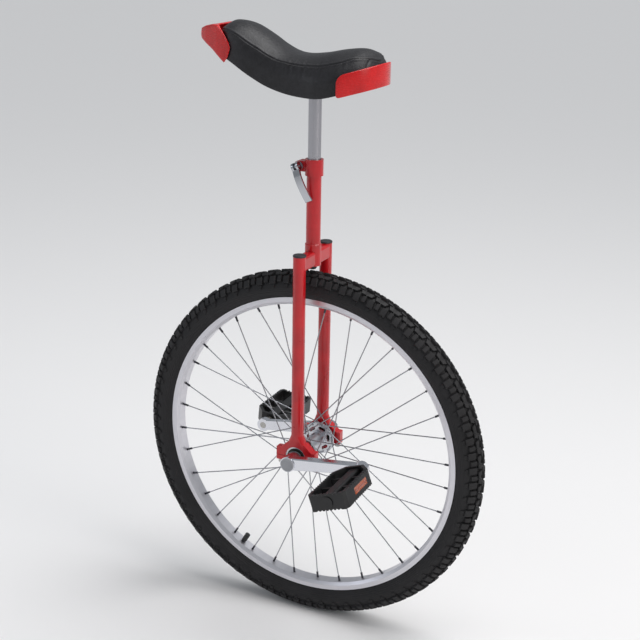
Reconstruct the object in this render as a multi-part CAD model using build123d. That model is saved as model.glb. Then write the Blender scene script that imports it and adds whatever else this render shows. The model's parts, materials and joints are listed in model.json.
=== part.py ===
"""Unicycle with a 26 inch wheel: frame, wheel, cranks, pedals, seatpost and saddle.

Millimetres. +X is forward (towards the saddle's nose), +Y is the rider's left, +Z is up.
The origin is the point on the ground under the middle of the wheel.
"""
from build123d import *
from math import cos, pi, radians, sin, sqrt
import os

os.makedirs("parts", exist_ok=True)

# ---------------------------------------------------------------- driving dimensions
RUN = 0.05                      # radial running clearance of a shaft in its hole
GAP = 0.3                       # clearance between faces that pass each other

# Wheel: 57-559 tyre on a 559 rim
TYRE_RADIUS = 332.5
HUB_Z = TYRE_RADIUS
BEAD_SEAT_RADIUS = 279.5
RIM_EDGE_RADIUS = 285.5
RIM_BED_RADIUS = 272.0
RIM_HALF_WIDTH = 15.0
TYRE_HALF_WIDTH = 27.0
SPOKE_COUNT = 36
SPOKE_RADIUS = 1.0
HEAD_THICKNESS = 0.7
CROSSINGS = 4
FIRST_NIPPLE_ANGLE = -4.1       # degrees from +X, towards +Z
VALVE_ANGLE = FIRST_NIPPLE_ANGLE - 55
NIPPLE_STAGGER = 2.0
FLANGE_Y = 36.6
FLANGE_THICKNESS = 3.2
FLANGE_RADIUS = 31.0
FLANGE_HOLE_RADIUS = 27.0       # circle of the spoke holes
AXLE_RADIUS = 8.5

# Bearings: 17 x 40 x 12
BEARING_Y = 52.85
BEARING_WIDTH = 12.0
BEARING_OUTER = 20.0
BALL_RADIUS = 3.3
BALL_CIRCLE = 14.4
BALL_COUNT = 8

# Frame
LEG_RADIUS = 11.1
LEG_BORE = 9.6
LEG_TOP_Z = 704.5
LEG_FOOT_Z = HUB_Z + 42
CAP_HEIGHT = 3.0
SEAT_TUBE_RADIUS = 12.7
SEAT_TUBE_BOTTOM_Z = 677.0
SEAT_TUBE_TOP_Z = 861.0
SLEEVE_RADIUS = 14.2
SLEEVE_TOP_Z = 716.0
BRIDGE_TOP_Z = 703.0
BRIDGE_THICKNESS = 20.0
HOLDER_WIDTH = 16.0
HOLDER_RADIUS = 25.0
EAR_HALF_LENGTH = 39.0
EAR_HEIGHT = 14.0
CAP_BOLT_X = 32.0

# Cranks and pedals
CRANK_LENGTH = 140.0
CRANK_ANGLE = 8.0               # the left crank points back and this much up
CRANK_INNER_Y = 78.0
CRANK_OUTER_Y = 92.0
CRANK_BOSS_INNER_Y = 64.0
CRANK_BOSS_RADIUS = 14.0
CRANK_EYE_RADIUS = 12.5
PEDAL_INNER_Y = 104.0
PEDAL_LENGTH = 120.0
PEDAL_HALF_WIDTH = 35.0
PEDAL_HALF_HEIGHT = 14.5
PEDAL_WALL = 5.5
TREAD_PITCH = 7.0
REFLECTOR_Y = 60.0              # middle of the reflectors, from the pedal's inner end
PEDAL_TILT = {1: 19.0, -1: -5.0}    # left and right pedal, front edge down is positive
SPINDLE_RADIUS = 5.5

# Seat clamp
SKEWER_X = 25.0
SKEWER_Z = 850.0
SKEWER_RADIUS = 2.5
COLLAR_RADIUS = 15.8
COLLAR_BOTTOM_Z = 835.0
COLLAR_TOP_Z = 863.0
LUG_HALF_WIDTH = 9.0
LEVER_PIVOT_Y = 18.6
LEVER_LENGTH = 63.0
LEVER_LEAN = 24.0               # degrees that the closed lever leans back from straight down

# Seatpost and saddle
POST_RADIUS = SEAT_TUBE_RADIUS - 1.6
POST_BOTTOM_Z = 762.0
POST_PLATE_Z = 981.0
PLATE_THICKNESS = 4.0
STUD_X = 30.0
STUD_Y = 14.0
COVER_THICKNESS = 1.6
PAN_THICKNESS = 4.0
SADDLE_MIDDLE_X = 24.0
SADDLE_HALF_LENGTH = 150.0
PAN_DEPTH = 10.0                # from the saddle's lower edge up to the pan's underside


# ---------------------------------------------------------------- helpers
def group(solids):
    return Compound(children=list(solids))


def rod_y(radius, y0, y1, x=0.0, z=0.0):
    return Pos(x, (y0 + y1) / 2, z) * Rot(90, 0, 0) * Cylinder(radius, abs(y1 - y0))


def rod_z(radius, z0, z1, x=0.0, y=0.0):
    return Pos(x, y, (z0 + z1) / 2) * Cylinder(radius, z1 - z0)


def block(x0, x1, y0, y1, z0, z1):
    return Pos((x0 + x1) / 2, (y0 + y1) / 2, (z0 + z1) / 2) * Box(x1 - x0, y1 - y0, z1 - z0)


def face_xz(points, y):
    """A flat face from (x, z) points at a given y."""
    return make_face(Polyline(*[(x, y, z) for x, z in points], close=True))


def slab(points, y0, y1):
    """A prism whose outline is a list of (x, z) points, from y0 to y1."""
    return extrude(face_xz(points, y0), amount=y1 - y0, dir=(0, 1, 0))


def ring(profile):
    """Turn a closed (radius, y) outline about the wheel's axis."""
    face = make_face(Polyline(*profile, close=True))
    return Pos(0, 0, HUB_Z) * revolve(face, Axis.Y)


def washer_y(outer, inner, y0, y1, x=0.0, z=0.0):
    return rod_y(outer, y0, y1, x, z) - rod_y(inner, min(y0, y1) - 1, max(y0, y1) + 1, x, z)


def about_hub(shape, angle):
    """Turn a shape about the wheel's axis, from +X towards +Z by angle degrees."""
    return Pos(0, 0, HUB_Z) * Rot(0, -angle, 0) * Pos(0, 0, -HUB_Z) * shape


def mirrored(shape):
    return mirror(shape, Plane.XZ)


# ---------------------------------------------------------------- tyre, tube and rim
def make_tyre():
    outer_side = ThreePointArc((286.5, 12.7), (307, TYRE_HALF_WIDTH), (326, 18))
    crown = ThreePointArc((326, 18), (TYRE_RADIUS, 0), (326, -18))
    outer_far = ThreePointArc((326, -18), (307, -TYRE_HALF_WIDTH), (286.5, -12.7))
    toe_far = Polyline((286.5, -12.7), (280.2, -12.7), (280.2, -9.7), (286.5, -9.7))
    inner_far = ThreePointArc((286.5, -9.7), (306, -23.6), (322, -14))
    inner_crown = ThreePointArc((322, -14), (326, 0), (322, 14))
    inner_side = ThreePointArc((322, 14), (306, 23.6), (286.5, 9.7))
    toe = Polyline((286.5, 9.7), (280.2, 9.7), (280.2, 12.7), (286.5, 12.7))
    edges = [outer_side, crown, outer_far, toe_far, inner_far, inner_crown, inner_side, toe]
    return Pos(0, 0, HUB_Z) * revolve(make_face(edges), Axis.Y)


def make_inner_tube():
    outer = Torus(304.6, 17.6)
    inner = Torus(304.6, 16.4)
    return Pos(0, 0, HUB_Z) * Rot(90, 0, 0) * (outer - inner)


def radial_rod(radius, r0, r1, angle, y=0.0):
    """A rod along a wheel radius, from r0 to r1."""
    rod = Pos((r0 + r1) / 2, y, HUB_Z) * Rot(0, 90, 0) * Cylinder(radius, r1 - r0)
    return about_hub(rod, angle)


def nipple_angles():
    step = 360 / SPOKE_COUNT
    return [FIRST_NIPPLE_ANGLE + step * k for k in range(SPOKE_COUNT)]


def make_rim():
    edge, bed, half = RIM_EDGE_RADIUS, RIM_BED_RADIUS, RIM_HALF_WIDTH
    outer = [(edge, half), (bed + 5, half), (bed, 10), (bed, -10), (bed + 5, -half), (edge, -half),
             (edge, -half + 1.8), (BEAD_SEAT_RADIUS, -half + 1.8), (BEAD_SEAT_RADIUS, -9),
             (277.8, -8), (277.8, 8), (BEAD_SEAT_RADIUS, 9), (BEAD_SEAT_RADIUS, half - 1.8),
             (edge, half - 1.8)]
    cavity = [(273.5, 9.2), (276.4, 12), (276.4, -12), (273.5, -9.2)]
    rim = ring(outer) - ring(cavity)
    holes = []
    for k, angle in enumerate(nipple_angles()):
        y = NIPPLE_STAGGER if k % 2 == 0 else -NIPPLE_STAGGER
        holes.append(radial_rod(2.6, 268, 275, angle, y))
        holes.append(radial_rod(3.6, 275, 280, angle, y))
    holes.append(radial_rod(4.1, 268, 280, VALVE_ANGLE))
    return rim - holes


def make_rim_tape():
    tape = ring([(277.9, 7.5), (278.7, 7.5), (278.7, -7.5), (277.9, -7.5)])
    return tape - radial_rod(4.1, 270, 282, VALVE_ANGLE)


def make_valve_stem():
    foot = radial_rod(8.0, 284.8, 286.3, VALVE_ANGLE)
    stem = radial_rod(3.85, 262, 285.0, VALVE_ANGLE)
    bore = radial_rod(1.6, 260, 300, VALVE_ANGLE)
    return foot + stem - bore


def make_valve_cap():
    cap = radial_rod(5.0, 253.5, 269.3, VALVE_ANGLE)
    return cap - radial_rod(3.9, 261.9, 271, VALVE_ANGLE)


# ---------------------------------------------------------------- spokes and hub
def hub_point(radius, angle, y):
    a = radians(angle)
    return Vector(radius * cos(a), y, HUB_Z + radius * sin(a))


def spoke_ends(kind):
    """Head, elbow and nipple end of the first spoke of a kind: side is +1 left, turn is +1 or -1."""
    side, turn, index = kind
    nipple_angle = FIRST_NIPPLE_ANGLE + index * 360 / SPOKE_COUNT
    hole_angle = nipple_angle + turn * CROSSINGS * 720 / SPOKE_COUNT
    stand_off = 3.2 if turn > 0 else 1.3
    elbow_y = side * (FLANGE_Y + turn * (FLANGE_THICKNESS / 2 + stand_off))
    head_y = side * (FLANGE_Y - turn * (FLANGE_THICKNESS + HEAD_THICKNESS) / 2)
    elbow = hub_point(FLANGE_HOLE_RADIUS, hole_angle, elbow_y)
    head = hub_point(FLANGE_HOLE_RADIUS, hole_angle, head_y)
    end = hub_point(RIM_BED_RADIUS + 2.1, nipple_angle, side * NIPPLE_STAGGER)
    return head, elbow, end


def repeat_nine(solid):
    return [about_hub(solid, 40 * k) for k in range(SPOKE_COUNT // 4)]


def make_spoke_group(kind):
    head, elbow, end = spoke_ends(kind)
    path = FilletPolyline(head, elbow, end, radius=1.6)
    wire = sweep(Plane(origin=head, z_dir=elbow - head) * Circle(SPOKE_RADIUS), path=path)
    inward = (head - elbow).normalized()
    button = Plane(origin=head, z_dir=inward) * Cylinder(1.5, HEAD_THICKNESS)
    return group(repeat_nine(wire + button))


def make_nipple(kind):
    _, elbow, end = spoke_ends(kind)
    out = (end - elbow).normalized()
    at = Plane(origin=end, z_dir=out)
    body = at * Pos(0, 0, -6) * Cylinder(1.95, 12.4)
    head = at * Pos(0, 0, 0.95) * Cylinder(2.9, 1.9)
    bore = at * Pos(0, 0, -7) * Cylinder(SPOKE_RADIUS + 0.02, 14.4)
    return body + head - bore


# side, turn and the index of the first nipple
SPOKE_KINDS = {
    "spokes_left_leading": (1, 1, 0),
    "spokes_left_trailing": (1, -1, 2),
    "spokes_right_leading": (-1, 1, 3),
    "spokes_right_trailing": (-1, -1, 1),
}


def make_hub_shell():
    inner, outer = FLANGE_Y - FLANGE_THICKNESS / 2, FLANGE_Y + FLANGE_THICKNESS / 2
    shell = rod_y(13.5, -outer, outer, 0, HUB_Z)
    for side in (1, -1):
        flange = rod_y(FLANGE_RADIUS, side * inner, side * outer, 0, HUB_Z)
        shell += chamfer(flange.edges().filter_by(GeomType.CIRCLE), 0.8)
        shell += rod_y(15.5, side * (inner - 4), side * (outer + 2.5), 0, HUB_Z)
    cuts = [rod_y(AXLE_RADIUS + 0.01, -45, 45, 0, HUB_Z)]
    for side in (1, -1):
        middle = side * FLANGE_Y
        for k in range(6):
            a = 60 * k + 20
            slot = extrude(SlotOverall(14, 6.4), amount=10, both=True)
            slot = Pos(0, middle, HUB_Z + 20.2) * Rot(90, 0, 0) * slot
            cuts.append(about_hub(slot, a))
    for kind in SPOKE_KINDS.values():
        head, _, _ = spoke_ends(kind)
        hole = rod_y(1.3, head.Y - 8, head.Y + 8, head.X, head.Z)
        cuts += repeat_nine(hole)
    shell -= cuts
    return shell


# ---------------------------------------------------------------- axle and bearings
def turned(shape):
    """Turn a shape from the crank's own frame (arm along -X) to the crank's rest angle."""
    return Pos(0, 0, HUB_Z) * Rot(0, CRANK_ANGLE, 0) * shape


def taper_prism(inner_side, outer_side, y0, y1, side):
    first = Plane(origin=(0, side * y0, 0), x_dir=(1, 0, 0), z_dir=(0, side, 0))
    last = Plane(origin=(0, side * y1, 0), x_dir=(1, 0, 0), z_dir=(0, side, 0))
    return loft([first * Rectangle(inner_side, inner_side), last * Rectangle(outer_side, outer_side)])


def make_axle():
    shaft = rod_y(AXLE_RADIUS, -60, 60)
    for side in (1, -1):
        neck = rod_y(7.8, side * 59.5, side * 64)
        taper = taper_prism(14.2, 12.8, 63.5, 82, side) & rod_y(9.0, side * 63, side * 83)
        shaft += neck + taper
    for side in (1, -1):
        shaft -= rod_y(3.4, side * 60, side * 90)
    return turned(shaft)


def groove():
    return Rot(90, 0, 0) * Torus(BALL_CIRCLE, BALL_RADIUS + RUN)


def both_bearings(piece):
    return [Pos(0, side * BEARING_Y, HUB_Z) * piece for side in (1, -1)]


def make_outer_ring():
    half = BEARING_WIDTH / 2
    body = washer_y(BEARING_OUTER, 17.2, -half, half)
    return body - groove()


def make_inner_ring():
    half = BEARING_WIDTH / 2
    body = washer_y(11.6, AXLE_RADIUS, -half, half)
    return body - groove()


def make_seals():
    half = BEARING_WIDTH / 2
    seals = []
    for side in (1, -1):
        seal = washer_y(17.2, 11.75, side * (half - 1.2), side * (half - 0.4))
        seals += both_bearings(seal)
    return seals


def make_balls():
    balls = []
    for k in range(BALL_COUNT):
        a = 2 * pi * k / BALL_COUNT
        ball = Pos(BALL_CIRCLE * cos(a), 0, BALL_CIRCLE * sin(a)) * Sphere(BALL_RADIUS)
        balls += both_bearings(ball)
    return balls


def make_spacers():
    flange_end = FLANGE_Y + FLANGE_THICKNESS / 2 + 2.5
    inner_face = BEARING_Y - BEARING_WIDTH / 2
    outer_face = BEARING_Y + BEARING_WIDTH / 2
    spacers = []
    for side in (1, -1):
        spacers.append(washer_y(11.2, AXLE_RADIUS, side * flange_end, side * inner_face, 0, HUB_Z))
        spacers.append(washer_y(11.2, AXLE_RADIUS, side * outer_face, side * 60, 0, HUB_Z))
    return spacers


# ---------------------------------------------------------------- cranks
def make_crank(side):
    """Crank arm with its arm along -X for the left side and +X for the right side."""
    reach = -side * CRANK_LENGTH
    y0, y1 = side * CRANK_INNER_Y, side * CRANK_OUTER_Y
    at = Plane(origin=(0, y0, 0), x_dir=(1, 0, 0), z_dir=(0, side, 0))
    root = Pos(reach * 0.05, 0) * Circle(11.5)
    tip = Pos(reach * 0.93, 0) * Circle(9.0)
    arm_outline = make_face(make_hull(root.edges() + tip.edges()))
    outline = arm_outline + Circle(CRANK_BOSS_RADIUS) + Pos(reach, 0) * Circle(CRANK_EYE_RADIUS)
    arm = extrude(at * outline, amount=CRANK_OUTER_Y - CRANK_INNER_Y)
    face = arm.faces().sort_by(Axis.Y)[-1 if side > 0 else 0]
    arm = chamfer(face.edges(), 2.0)
    boss = rod_y(CRANK_BOSS_RADIUS, side * CRANK_BOSS_INNER_Y, side * (CRANK_OUTER_Y + 1.5))
    crank = arm + boss
    crank -= taper_prism(14.2, 12.8, 63.5, 82, side)
    crank -= rod_y(4.2, side * 80, side * 88)
    crank -= rod_y(11.0, side * 86, side * 100)
    crank -= rod_y(6.35, side * 70, side * 100, reach, 0)
    return turned(crank)


def make_crank_bolt(side):
    shank = rod_y(3.35, side * 66, side * 87)
    head = rod_y(7.0, side * 86, side * 91)
    socket = rod_y(3.2, side * 87.5, side * 92)
    return turned(shank + head - socket)


def make_dust_cap(side):
    disc = rod_y(12.4, side * (CRANK_OUTER_Y + 1.5), side * (CRANK_OUTER_Y + 3.6))
    skirt = washer_y(10.95, 9.6, side * 88, side * (CRANK_OUTER_Y + 1.6))
    cap = disc + skirt
    rim = cap.faces().sort_by(Axis.Y)[-1 if side > 0 else 0]
    return turned(chamfer(rim.edges().sort_by(SortBy.RADIUS)[-1], 0.8))


# ---------------------------------------------------------------- pedals
def pedal_placed(shape, side):
    """Put a pedal piece, built about the Y axis, on its crank's eye."""
    reach = -side * CRANK_LENGTH
    a = radians(CRANK_ANGLE)
    x, z = reach * cos(a), HUB_Z - reach * sin(a)
    return Pos(x, 0, z) * shape


def pedal_tilted(shape, side):
    return pedal_placed(Rot(0, PEDAL_TILT[side], 0) * shape, side)


def pedal_outline():
    """The platform seen from above: narrow at the crank, then full width, with small outer corners."""
    w = PEDAL_HALF_WIDTH
    front = [(17, 0), (w, 22), (w, PEDAL_LENGTH - 7), (w - 4, PEDAL_LENGTH)]
    back = [(-x, y) for x, y in reversed(front)]
    return Pos(0, PEDAL_INNER_Y) * make_face(Polyline(*front, *back, close=True))


def tread_notch():
    """A V-groove across the platform's edge, 2.4 mm deep, along its own Z axis."""
    width = 2.4 * sqrt(2)
    return Rot(0, 0, 45) * Box(width, width, 12)


def make_pedal_body(side):
    h = PEDAL_HALF_HEIGHT
    y_end = PEDAL_INNER_Y + PEDAL_LENGTH
    body = extrude(pedal_outline(), amount=h, both=True)
    inside = offset(pedal_outline(), amount=-PEDAL_WALL, kind=Kind.INTERSECTION)
    body -= extrude(inside, amount=h + 1, both=True)
    core = block(-10.5, 10.5, PEDAL_INNER_Y + 2, y_end - 2, -11, 11)
    core = fillet(core.edges().filter_by(Axis.Y), 5)
    body += core
    for y in (PEDAL_INNER_Y + 38, PEDAL_INNER_Y + 76):
        body += block(-PEDAL_HALF_WIDTH + 3, PEDAL_HALF_WIDTH - 3, y - 2, y + 2, -8, 8)
    body -= rod_y(8.0, PEDAL_INNER_Y - 1, y_end + 1)
    cuts = []
    side_notch = Rot(0, 90, 0) * tread_notch()
    end_notch = Rot(90, 0, 0) * tread_notch()
    for z in (h, -h):
        for x in (PEDAL_HALF_WIDTH - PEDAL_WALL / 2, PEDAL_WALL / 2 - PEDAL_HALF_WIDTH):
            for k in range(11):
                cuts.append(Pos(x, PEDAL_INNER_Y + 24.5 + TREAD_PITCH * k, z) * side_notch)
        for k in range(7):
            cuts.append(Pos((k - 3) * TREAD_PITCH, y_end - PEDAL_WALL / 2, z) * end_notch)
    for x in (PEDAL_HALF_WIDTH, -PEDAL_HALF_WIDTH):
        y = PEDAL_INNER_Y + REFLECTOR_Y
        cuts.append(block(x - 2.2, x + 2.2, y - 24, y + 24, -6.2, 6.2))
    body -= cuts
    if side < 0:
        body = mirrored(body)
    return pedal_tilted(body, side)


def make_reflectors(side):
    pieces = []
    for x_sign in (1, -1):
        inner, outer = PEDAL_HALF_WIDTH - 2.2, PEDAL_HALF_WIDTH - 0.2
        y = PEDAL_INNER_Y + REFLECTOR_Y
        x0, x1 = sorted((x_sign * inner, x_sign * outer))
        plate = block(x0, x1, y - 23.8, y + 23.8, -6, 6)
        pieces.append(plate)
    plates = group(pieces)
    if side < 0:
        plates = mirrored(plates)
    return pedal_tilted(plates, side)


def make_pedal_bushes(side):
    y_end = PEDAL_INNER_Y + PEDAL_LENGTH
    inner = washer_y(8.0, SPINDLE_RADIUS + RUN, PEDAL_INNER_Y + 0.5, PEDAL_INNER_Y + 15)
    outer = washer_y(8.0, SPINDLE_RADIUS + RUN, y_end - 28, y_end - 14)
    bushes = group([inner, outer])
    if side < 0:
        bushes = mirrored(bushes)
    return pedal_tilted(bushes, side)


def make_pedal_end_cap(side):
    y_end = PEDAL_INNER_Y + PEDAL_LENGTH
    cap = rod_y(8.0, y_end - 5, y_end) + rod_y(10.0, y_end, y_end + 1.5)
    if side < 0:
        cap = mirrored(cap)
    return pedal_tilted(cap, side)


def make_pedal_spindle(side):
    y_end = PEDAL_INNER_Y + PEDAL_LENGTH
    thread = rod_y(6.3, side * CRANK_INNER_Y, side * CRANK_OUTER_Y)
    collar = rod_y(8.6, side * CRANK_OUTER_Y, side * 99)
    for sign in (1, -1):
        x0, x1 = sorted((sign * 7.5, sign * 10))
        y0, y1 = sorted((side * 93.5, side * 98))
        collar -= block(x0, x1, y0, y1, -10, 10)
    shaft = rod_y(SPINDLE_RADIUS, side * 99, side * (y_end - 13))
    nut = rod_y(7.2, side * (y_end - 13.6), side * (y_end - 7))
    return pedal_placed(thread + collar + shaft + nut, side)


# ---------------------------------------------------------------- frame
def make_seat_tube():
    tube = rod_z(SEAT_TUBE_RADIUS, SEAT_TUBE_BOTTOM_Z, SEAT_TUBE_TOP_Z)
    tube -= rod_z(POST_RADIUS + RUN, SEAT_TUBE_BOTTOM_Z - 1, SEAT_TUBE_TOP_Z + 1)
    tube -= block(5, 20, -1.2, 1.2, 826, 870)
    tube -= rod_y(2.2, -1.2, 1.2, SEAT_TUBE_RADIUS - 0.7, 826)
    return tube


def make_seat_tube_plug():
    plug = rod_z(POST_RADIUS, SEAT_TUBE_BOTTOM_Z, SEAT_TUBE_BOTTOM_Z + 14)
    button = rod_z(7.2, SEAT_TUBE_BOTTOM_Z - 8, SEAT_TUBE_BOTTOM_Z)
    button = fillet(button.edges().sort_by(Axis.Z)[0], 4.5)
    return plug + button


def make_sleeve():
    sleeve = rod_z(SLEEVE_RADIUS, SEAT_TUBE_BOTTOM_Z, SLEEVE_TOP_Z)
    sleeve = chamfer(sleeve.edges().sort_by(Axis.Z)[-1], 1.2)
    return sleeve - rod_z(SEAT_TUBE_RADIUS, 600, 800)


def make_bridge(side):
    half = BRIDGE_THICKNESS / 2
    bar = block(-half, half, 0, BEARING_Y, SEAT_TUBE_BOTTOM_Z, BRIDGE_TOP_Z)
    bar = fillet(bar.edges().filter_by(Axis.Y), 4.5)
    bar -= rod_z(SLEEVE_RADIUS, 600, 800)
    bar -= rod_z(LEG_RADIUS, 600, 800, 0, BEARING_Y)
    bar -= block(-20, 20, BEARING_Y, BEARING_Y + 20, 600, 800)
    solid = bar.solids().sort_by(SortBy.VOLUME)[-1]
    return solid if side > 0 else mirrored(solid)


def make_leg(side):
    leg = rod_z(LEG_RADIUS, LEG_FOOT_Z, LEG_TOP_Z, 0, side * BEARING_Y)
    return leg - rod_z(LEG_BORE, 300, 800, 0, side * BEARING_Y)


def make_leg_caps():
    caps = []
    for side in (1, -1):
        top = rod_z(LEG_RADIUS + 0.4, LEG_TOP_Z, LEG_TOP_Z + CAP_HEIGHT, 0, side * BEARING_Y)
        top = fillet(top.edges().sort_by(Axis.Z)[-1], 1.4)
        stem = rod_z(LEG_BORE, LEG_TOP_Z - 9, LEG_TOP_Z, 0, side * BEARING_Y)
        caps.append(top + stem)
    return caps


def make_bearing_holder(side):
    """Upper half: an arch over the bearing with two ears, and a neck that takes the leg."""
    y = BEARING_Y
    half = HOLDER_WIDTH / 2
    arch = rod_y(HOLDER_RADIUS, y - half, y + half, 0, HUB_Z)
    ears = block(-EAR_HALF_LENGTH, EAR_HALF_LENGTH, y - half, y + half, HUB_Z, HUB_Z + EAR_HEIGHT)
    ears = fillet(ears.edges().filter_by(Axis.Z), 3)
    flank = slab([(-31, HUB_Z + 5), (31, HUB_Z + 5), (31, HUB_Z + EAR_HEIGHT), (17, HUB_Z + 27),
                  (-17, HUB_Z + 27), (-31, HUB_Z + EAR_HEIGHT)], y - half, y + half)
    foot = Plane(origin=(0, y, HUB_Z + 18)) * RectangleRounded(38, HOLDER_WIDTH - 0.4, 3)
    across = 2 * LEG_RADIUS
    top = Plane(origin=(0, y, LEG_FOOT_Z)) * RectangleRounded(across, across, LEG_RADIUS - 0.05)
    neck = loft([foot, top])
    spigot = rod_z(LEG_BORE, LEG_FOOT_Z - 1, LEG_FOOT_Z + 14, 0, y)
    holder = arch + ears + flank + neck + spigot
    holder -= block(-60, 60, 0, 100, 200, HUB_Z + 0.4)
    holder -= rod_y(BEARING_OUTER, 0, 100, 0, HUB_Z)
    for x in (CAP_BOLT_X, -CAP_BOLT_X):
        holder -= rod_z(3.0, HUB_Z - 5, HUB_Z + 11, x, y)
    return holder if side > 0 else mirrored(holder)


def make_lower_cap(side):
    y = BEARING_Y
    half = HOLDER_WIDTH / 2
    arch = rod_y(HOLDER_RADIUS, y - half, y + half, 0, HUB_Z)
    ears = block(-EAR_HALF_LENGTH, EAR_HALF_LENGTH, y - half, y + half, HUB_Z - 9, HUB_Z)
    ears = fillet(ears.edges().filter_by(Axis.Z), 3)
    cap = arch + ears
    cap -= block(-60, 60, 0, 100, HUB_Z - 0.4, 400)
    cap -= rod_y(BEARING_OUTER, 0, 100, 0, HUB_Z)
    for x in (CAP_BOLT_X, -CAP_BOLT_X):
        cap -= rod_z(3.2, HUB_Z - 20, HUB_Z + 5, x, y)
    return cap if side > 0 else mirrored(cap)


CAP_BOLT_SPOTS = [(x, side * BEARING_Y) for side in (1, -1) for x in (CAP_BOLT_X, -CAP_BOLT_X)]
CAP_BOLT_SEAT_Z = HUB_Z - 10.2  # underside of the bolts' washers


def make_cap_bolts():
    bolts = []
    socket = extrude(RegularPolygon(2.6, 6), amount=3, both=True)
    for x, y in CAP_BOLT_SPOTS:
        shank = rod_z(3.0, CAP_BOLT_SEAT_Z - 0.1, HUB_Z + 10.5, x, y)
        head = rod_z(5.0, CAP_BOLT_SEAT_Z - 6, CAP_BOLT_SEAT_Z, x, y)
        bolts.append(head + shank - Pos(x, y, CAP_BOLT_SEAT_Z - 4.6) * socket)
    return bolts


def make_cap_washers():
    washers = []
    for x, y in CAP_BOLT_SPOTS:
        disc = rod_z(6.2, CAP_BOLT_SEAT_Z, CAP_BOLT_SEAT_Z + 1.2, x, y)
        hole = rod_z(3.2, CAP_BOLT_SEAT_Z - 1, CAP_BOLT_SEAT_Z + 3, x, y)
        washers.append(disc - hole)
    return washers


# ---------------------------------------------------------------- seat clamp
def make_collar():
    lug_top, lug_bottom = SKEWER_Z + 9, SKEWER_Z - 9
    ring_part = rod_z(COLLAR_RADIUS, COLLAR_BOTTOM_Z, COLLAR_TOP_Z)
    lug = block(10, SKEWER_X, -LUG_HALF_WIDTH, LUG_HALF_WIDTH, lug_bottom, lug_top)
    nose = rod_y(9.0, -LUG_HALF_WIDTH, LUG_HALF_WIDTH, SKEWER_X, SKEWER_Z)
    collar = ring_part + lug + nose
    collar -= rod_z(SEAT_TUBE_RADIUS, 800, SEAT_TUBE_TOP_Z)
    collar -= rod_z(POST_RADIUS + 0.6, 800, 900)
    collar -= block(8, 60, -1.2, 1.2, 800, 900)
    collar -= rod_y(SKEWER_RADIUS + 0.2, -30, 30, SKEWER_X, SKEWER_Z)
    return collar


def lever_plane(y):
    """The lever's own frame: x runs along the closed lever, y points out, z is its hinge axis."""
    lean = radians(LEVER_LEAN)
    along = Vector(-sin(lean), 0, -cos(lean))
    hinge = along.cross(Vector(0, 1, 0))
    return Plane(origin=(SKEWER_X, y, SKEWER_Z), x_dir=along, z_dir=hinge)


def make_skewer():
    rod = rod_y(SKEWER_RADIUS, -18, LEVER_PIVOT_Y, SKEWER_X, SKEWER_Z)
    at = lever_plane(LEVER_PIVOT_Y)
    eye = at * Cylinder(3.6, 4.4)
    pin = at * Cylinder(2.0, 15)
    return rod + eye + pin


def make_cam_washer():
    washer = rod_y(8.2, LUG_HALF_WIDTH, LUG_HALF_WIDTH + 1.8, SKEWER_X, SKEWER_Z)
    return washer - rod_y(SKEWER_RADIUS + 0.1, 0, 20, SKEWER_X, SKEWER_Z)


def make_lever():
    at = lever_plane(LEVER_PIVOT_Y)
    n = LEVER_LENGTH
    cheek = Cylinder(7.5, 4.0)
    cheeks = Pos(0, 0, 4.6) * cheek + Pos(0, 0, -4.6) * cheek
    path_out = [(2, 5.0), (14, 8.6), (30, 9.2), (46, 7.0), (n, 2.6)]
    path_in = [(n - 1.0, -0.6), (45, 3.4), (30, 5.2), (15, 4.6), (6.5, 0.0)]
    blade_face = make_face([Spline(*path_out), Line(path_out[-1], path_in[0]),
                            Spline(*path_in), Line(path_in[-1], path_out[0])])
    blade = extrude(blade_face, amount=6.4, both=True)
    blade -= Cylinder(5.4, 5.2)
    blade = fillet(blade.edges().filter_by(Axis.Z).sort_by(Axis.X)[-2:], 1.2)
    lever = cheeks + blade
    lever -= Cylinder(2.0 + RUN, 40)
    lever -= Cylinder(7.6, 5.0) & block(-10, 5.6, -10, 10, -3, 3)
    return at * lever


def make_adjusting_nut():
    y_in = -LUG_HALF_WIDTH - GAP
    flange = rod_y(7.0, y_in, y_in - 3, SKEWER_X, SKEWER_Z)
    barrel = rod_y(5.4, y_in, y_in - 10.5, SKEWER_X, SKEWER_Z)
    nut = flange + barrel
    notches = []
    for k in range(12):
        a = 2 * pi * k / 12
        notches.append(rod_y(0.7, y_in - 3, y_in - 10.5, SKEWER_X + 5.6 * cos(a), SKEWER_Z + 5.6 * sin(a)))
    nut -= notches
    return nut - rod_y(SKEWER_RADIUS + RUN, 0, y_in - 9.4, SKEWER_X, SKEWER_Z)


# ---------------------------------------------------------------- seatpost and saddle
STUDS = [(x, y) for x in (STUD_X, -STUD_X) for y in (STUD_Y, -STUD_Y)]

SADDLE_TOP = [(-123, 1018), (-117, 1035), (-104, 1047), (-84, 1052), (-53, 1048), (-19, 1041),
              (16, 1037.5), (41, 1041), (66, 1053), (88, 1067), (117, 1081), (146, 1085.5),
              (166, 1080), (174, 1066)]
SADDLE_FLOOR = [(170, 1036), (133, 1020), (96, 1000), (64, 986), (29, 977.5), (-6, 974.5),
                (-40, 976), (-73, 984), (-100, 990), (-121, 997)]
SADDLE_PLAN = [(-123, 0), (-116, 32), (-100, 55), (-70, 70), (-35, 70), (0, 62), (40, 56),
               (80, 53), (120, 51), (150, 43), (167, 26), (174, 0)]


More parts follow.
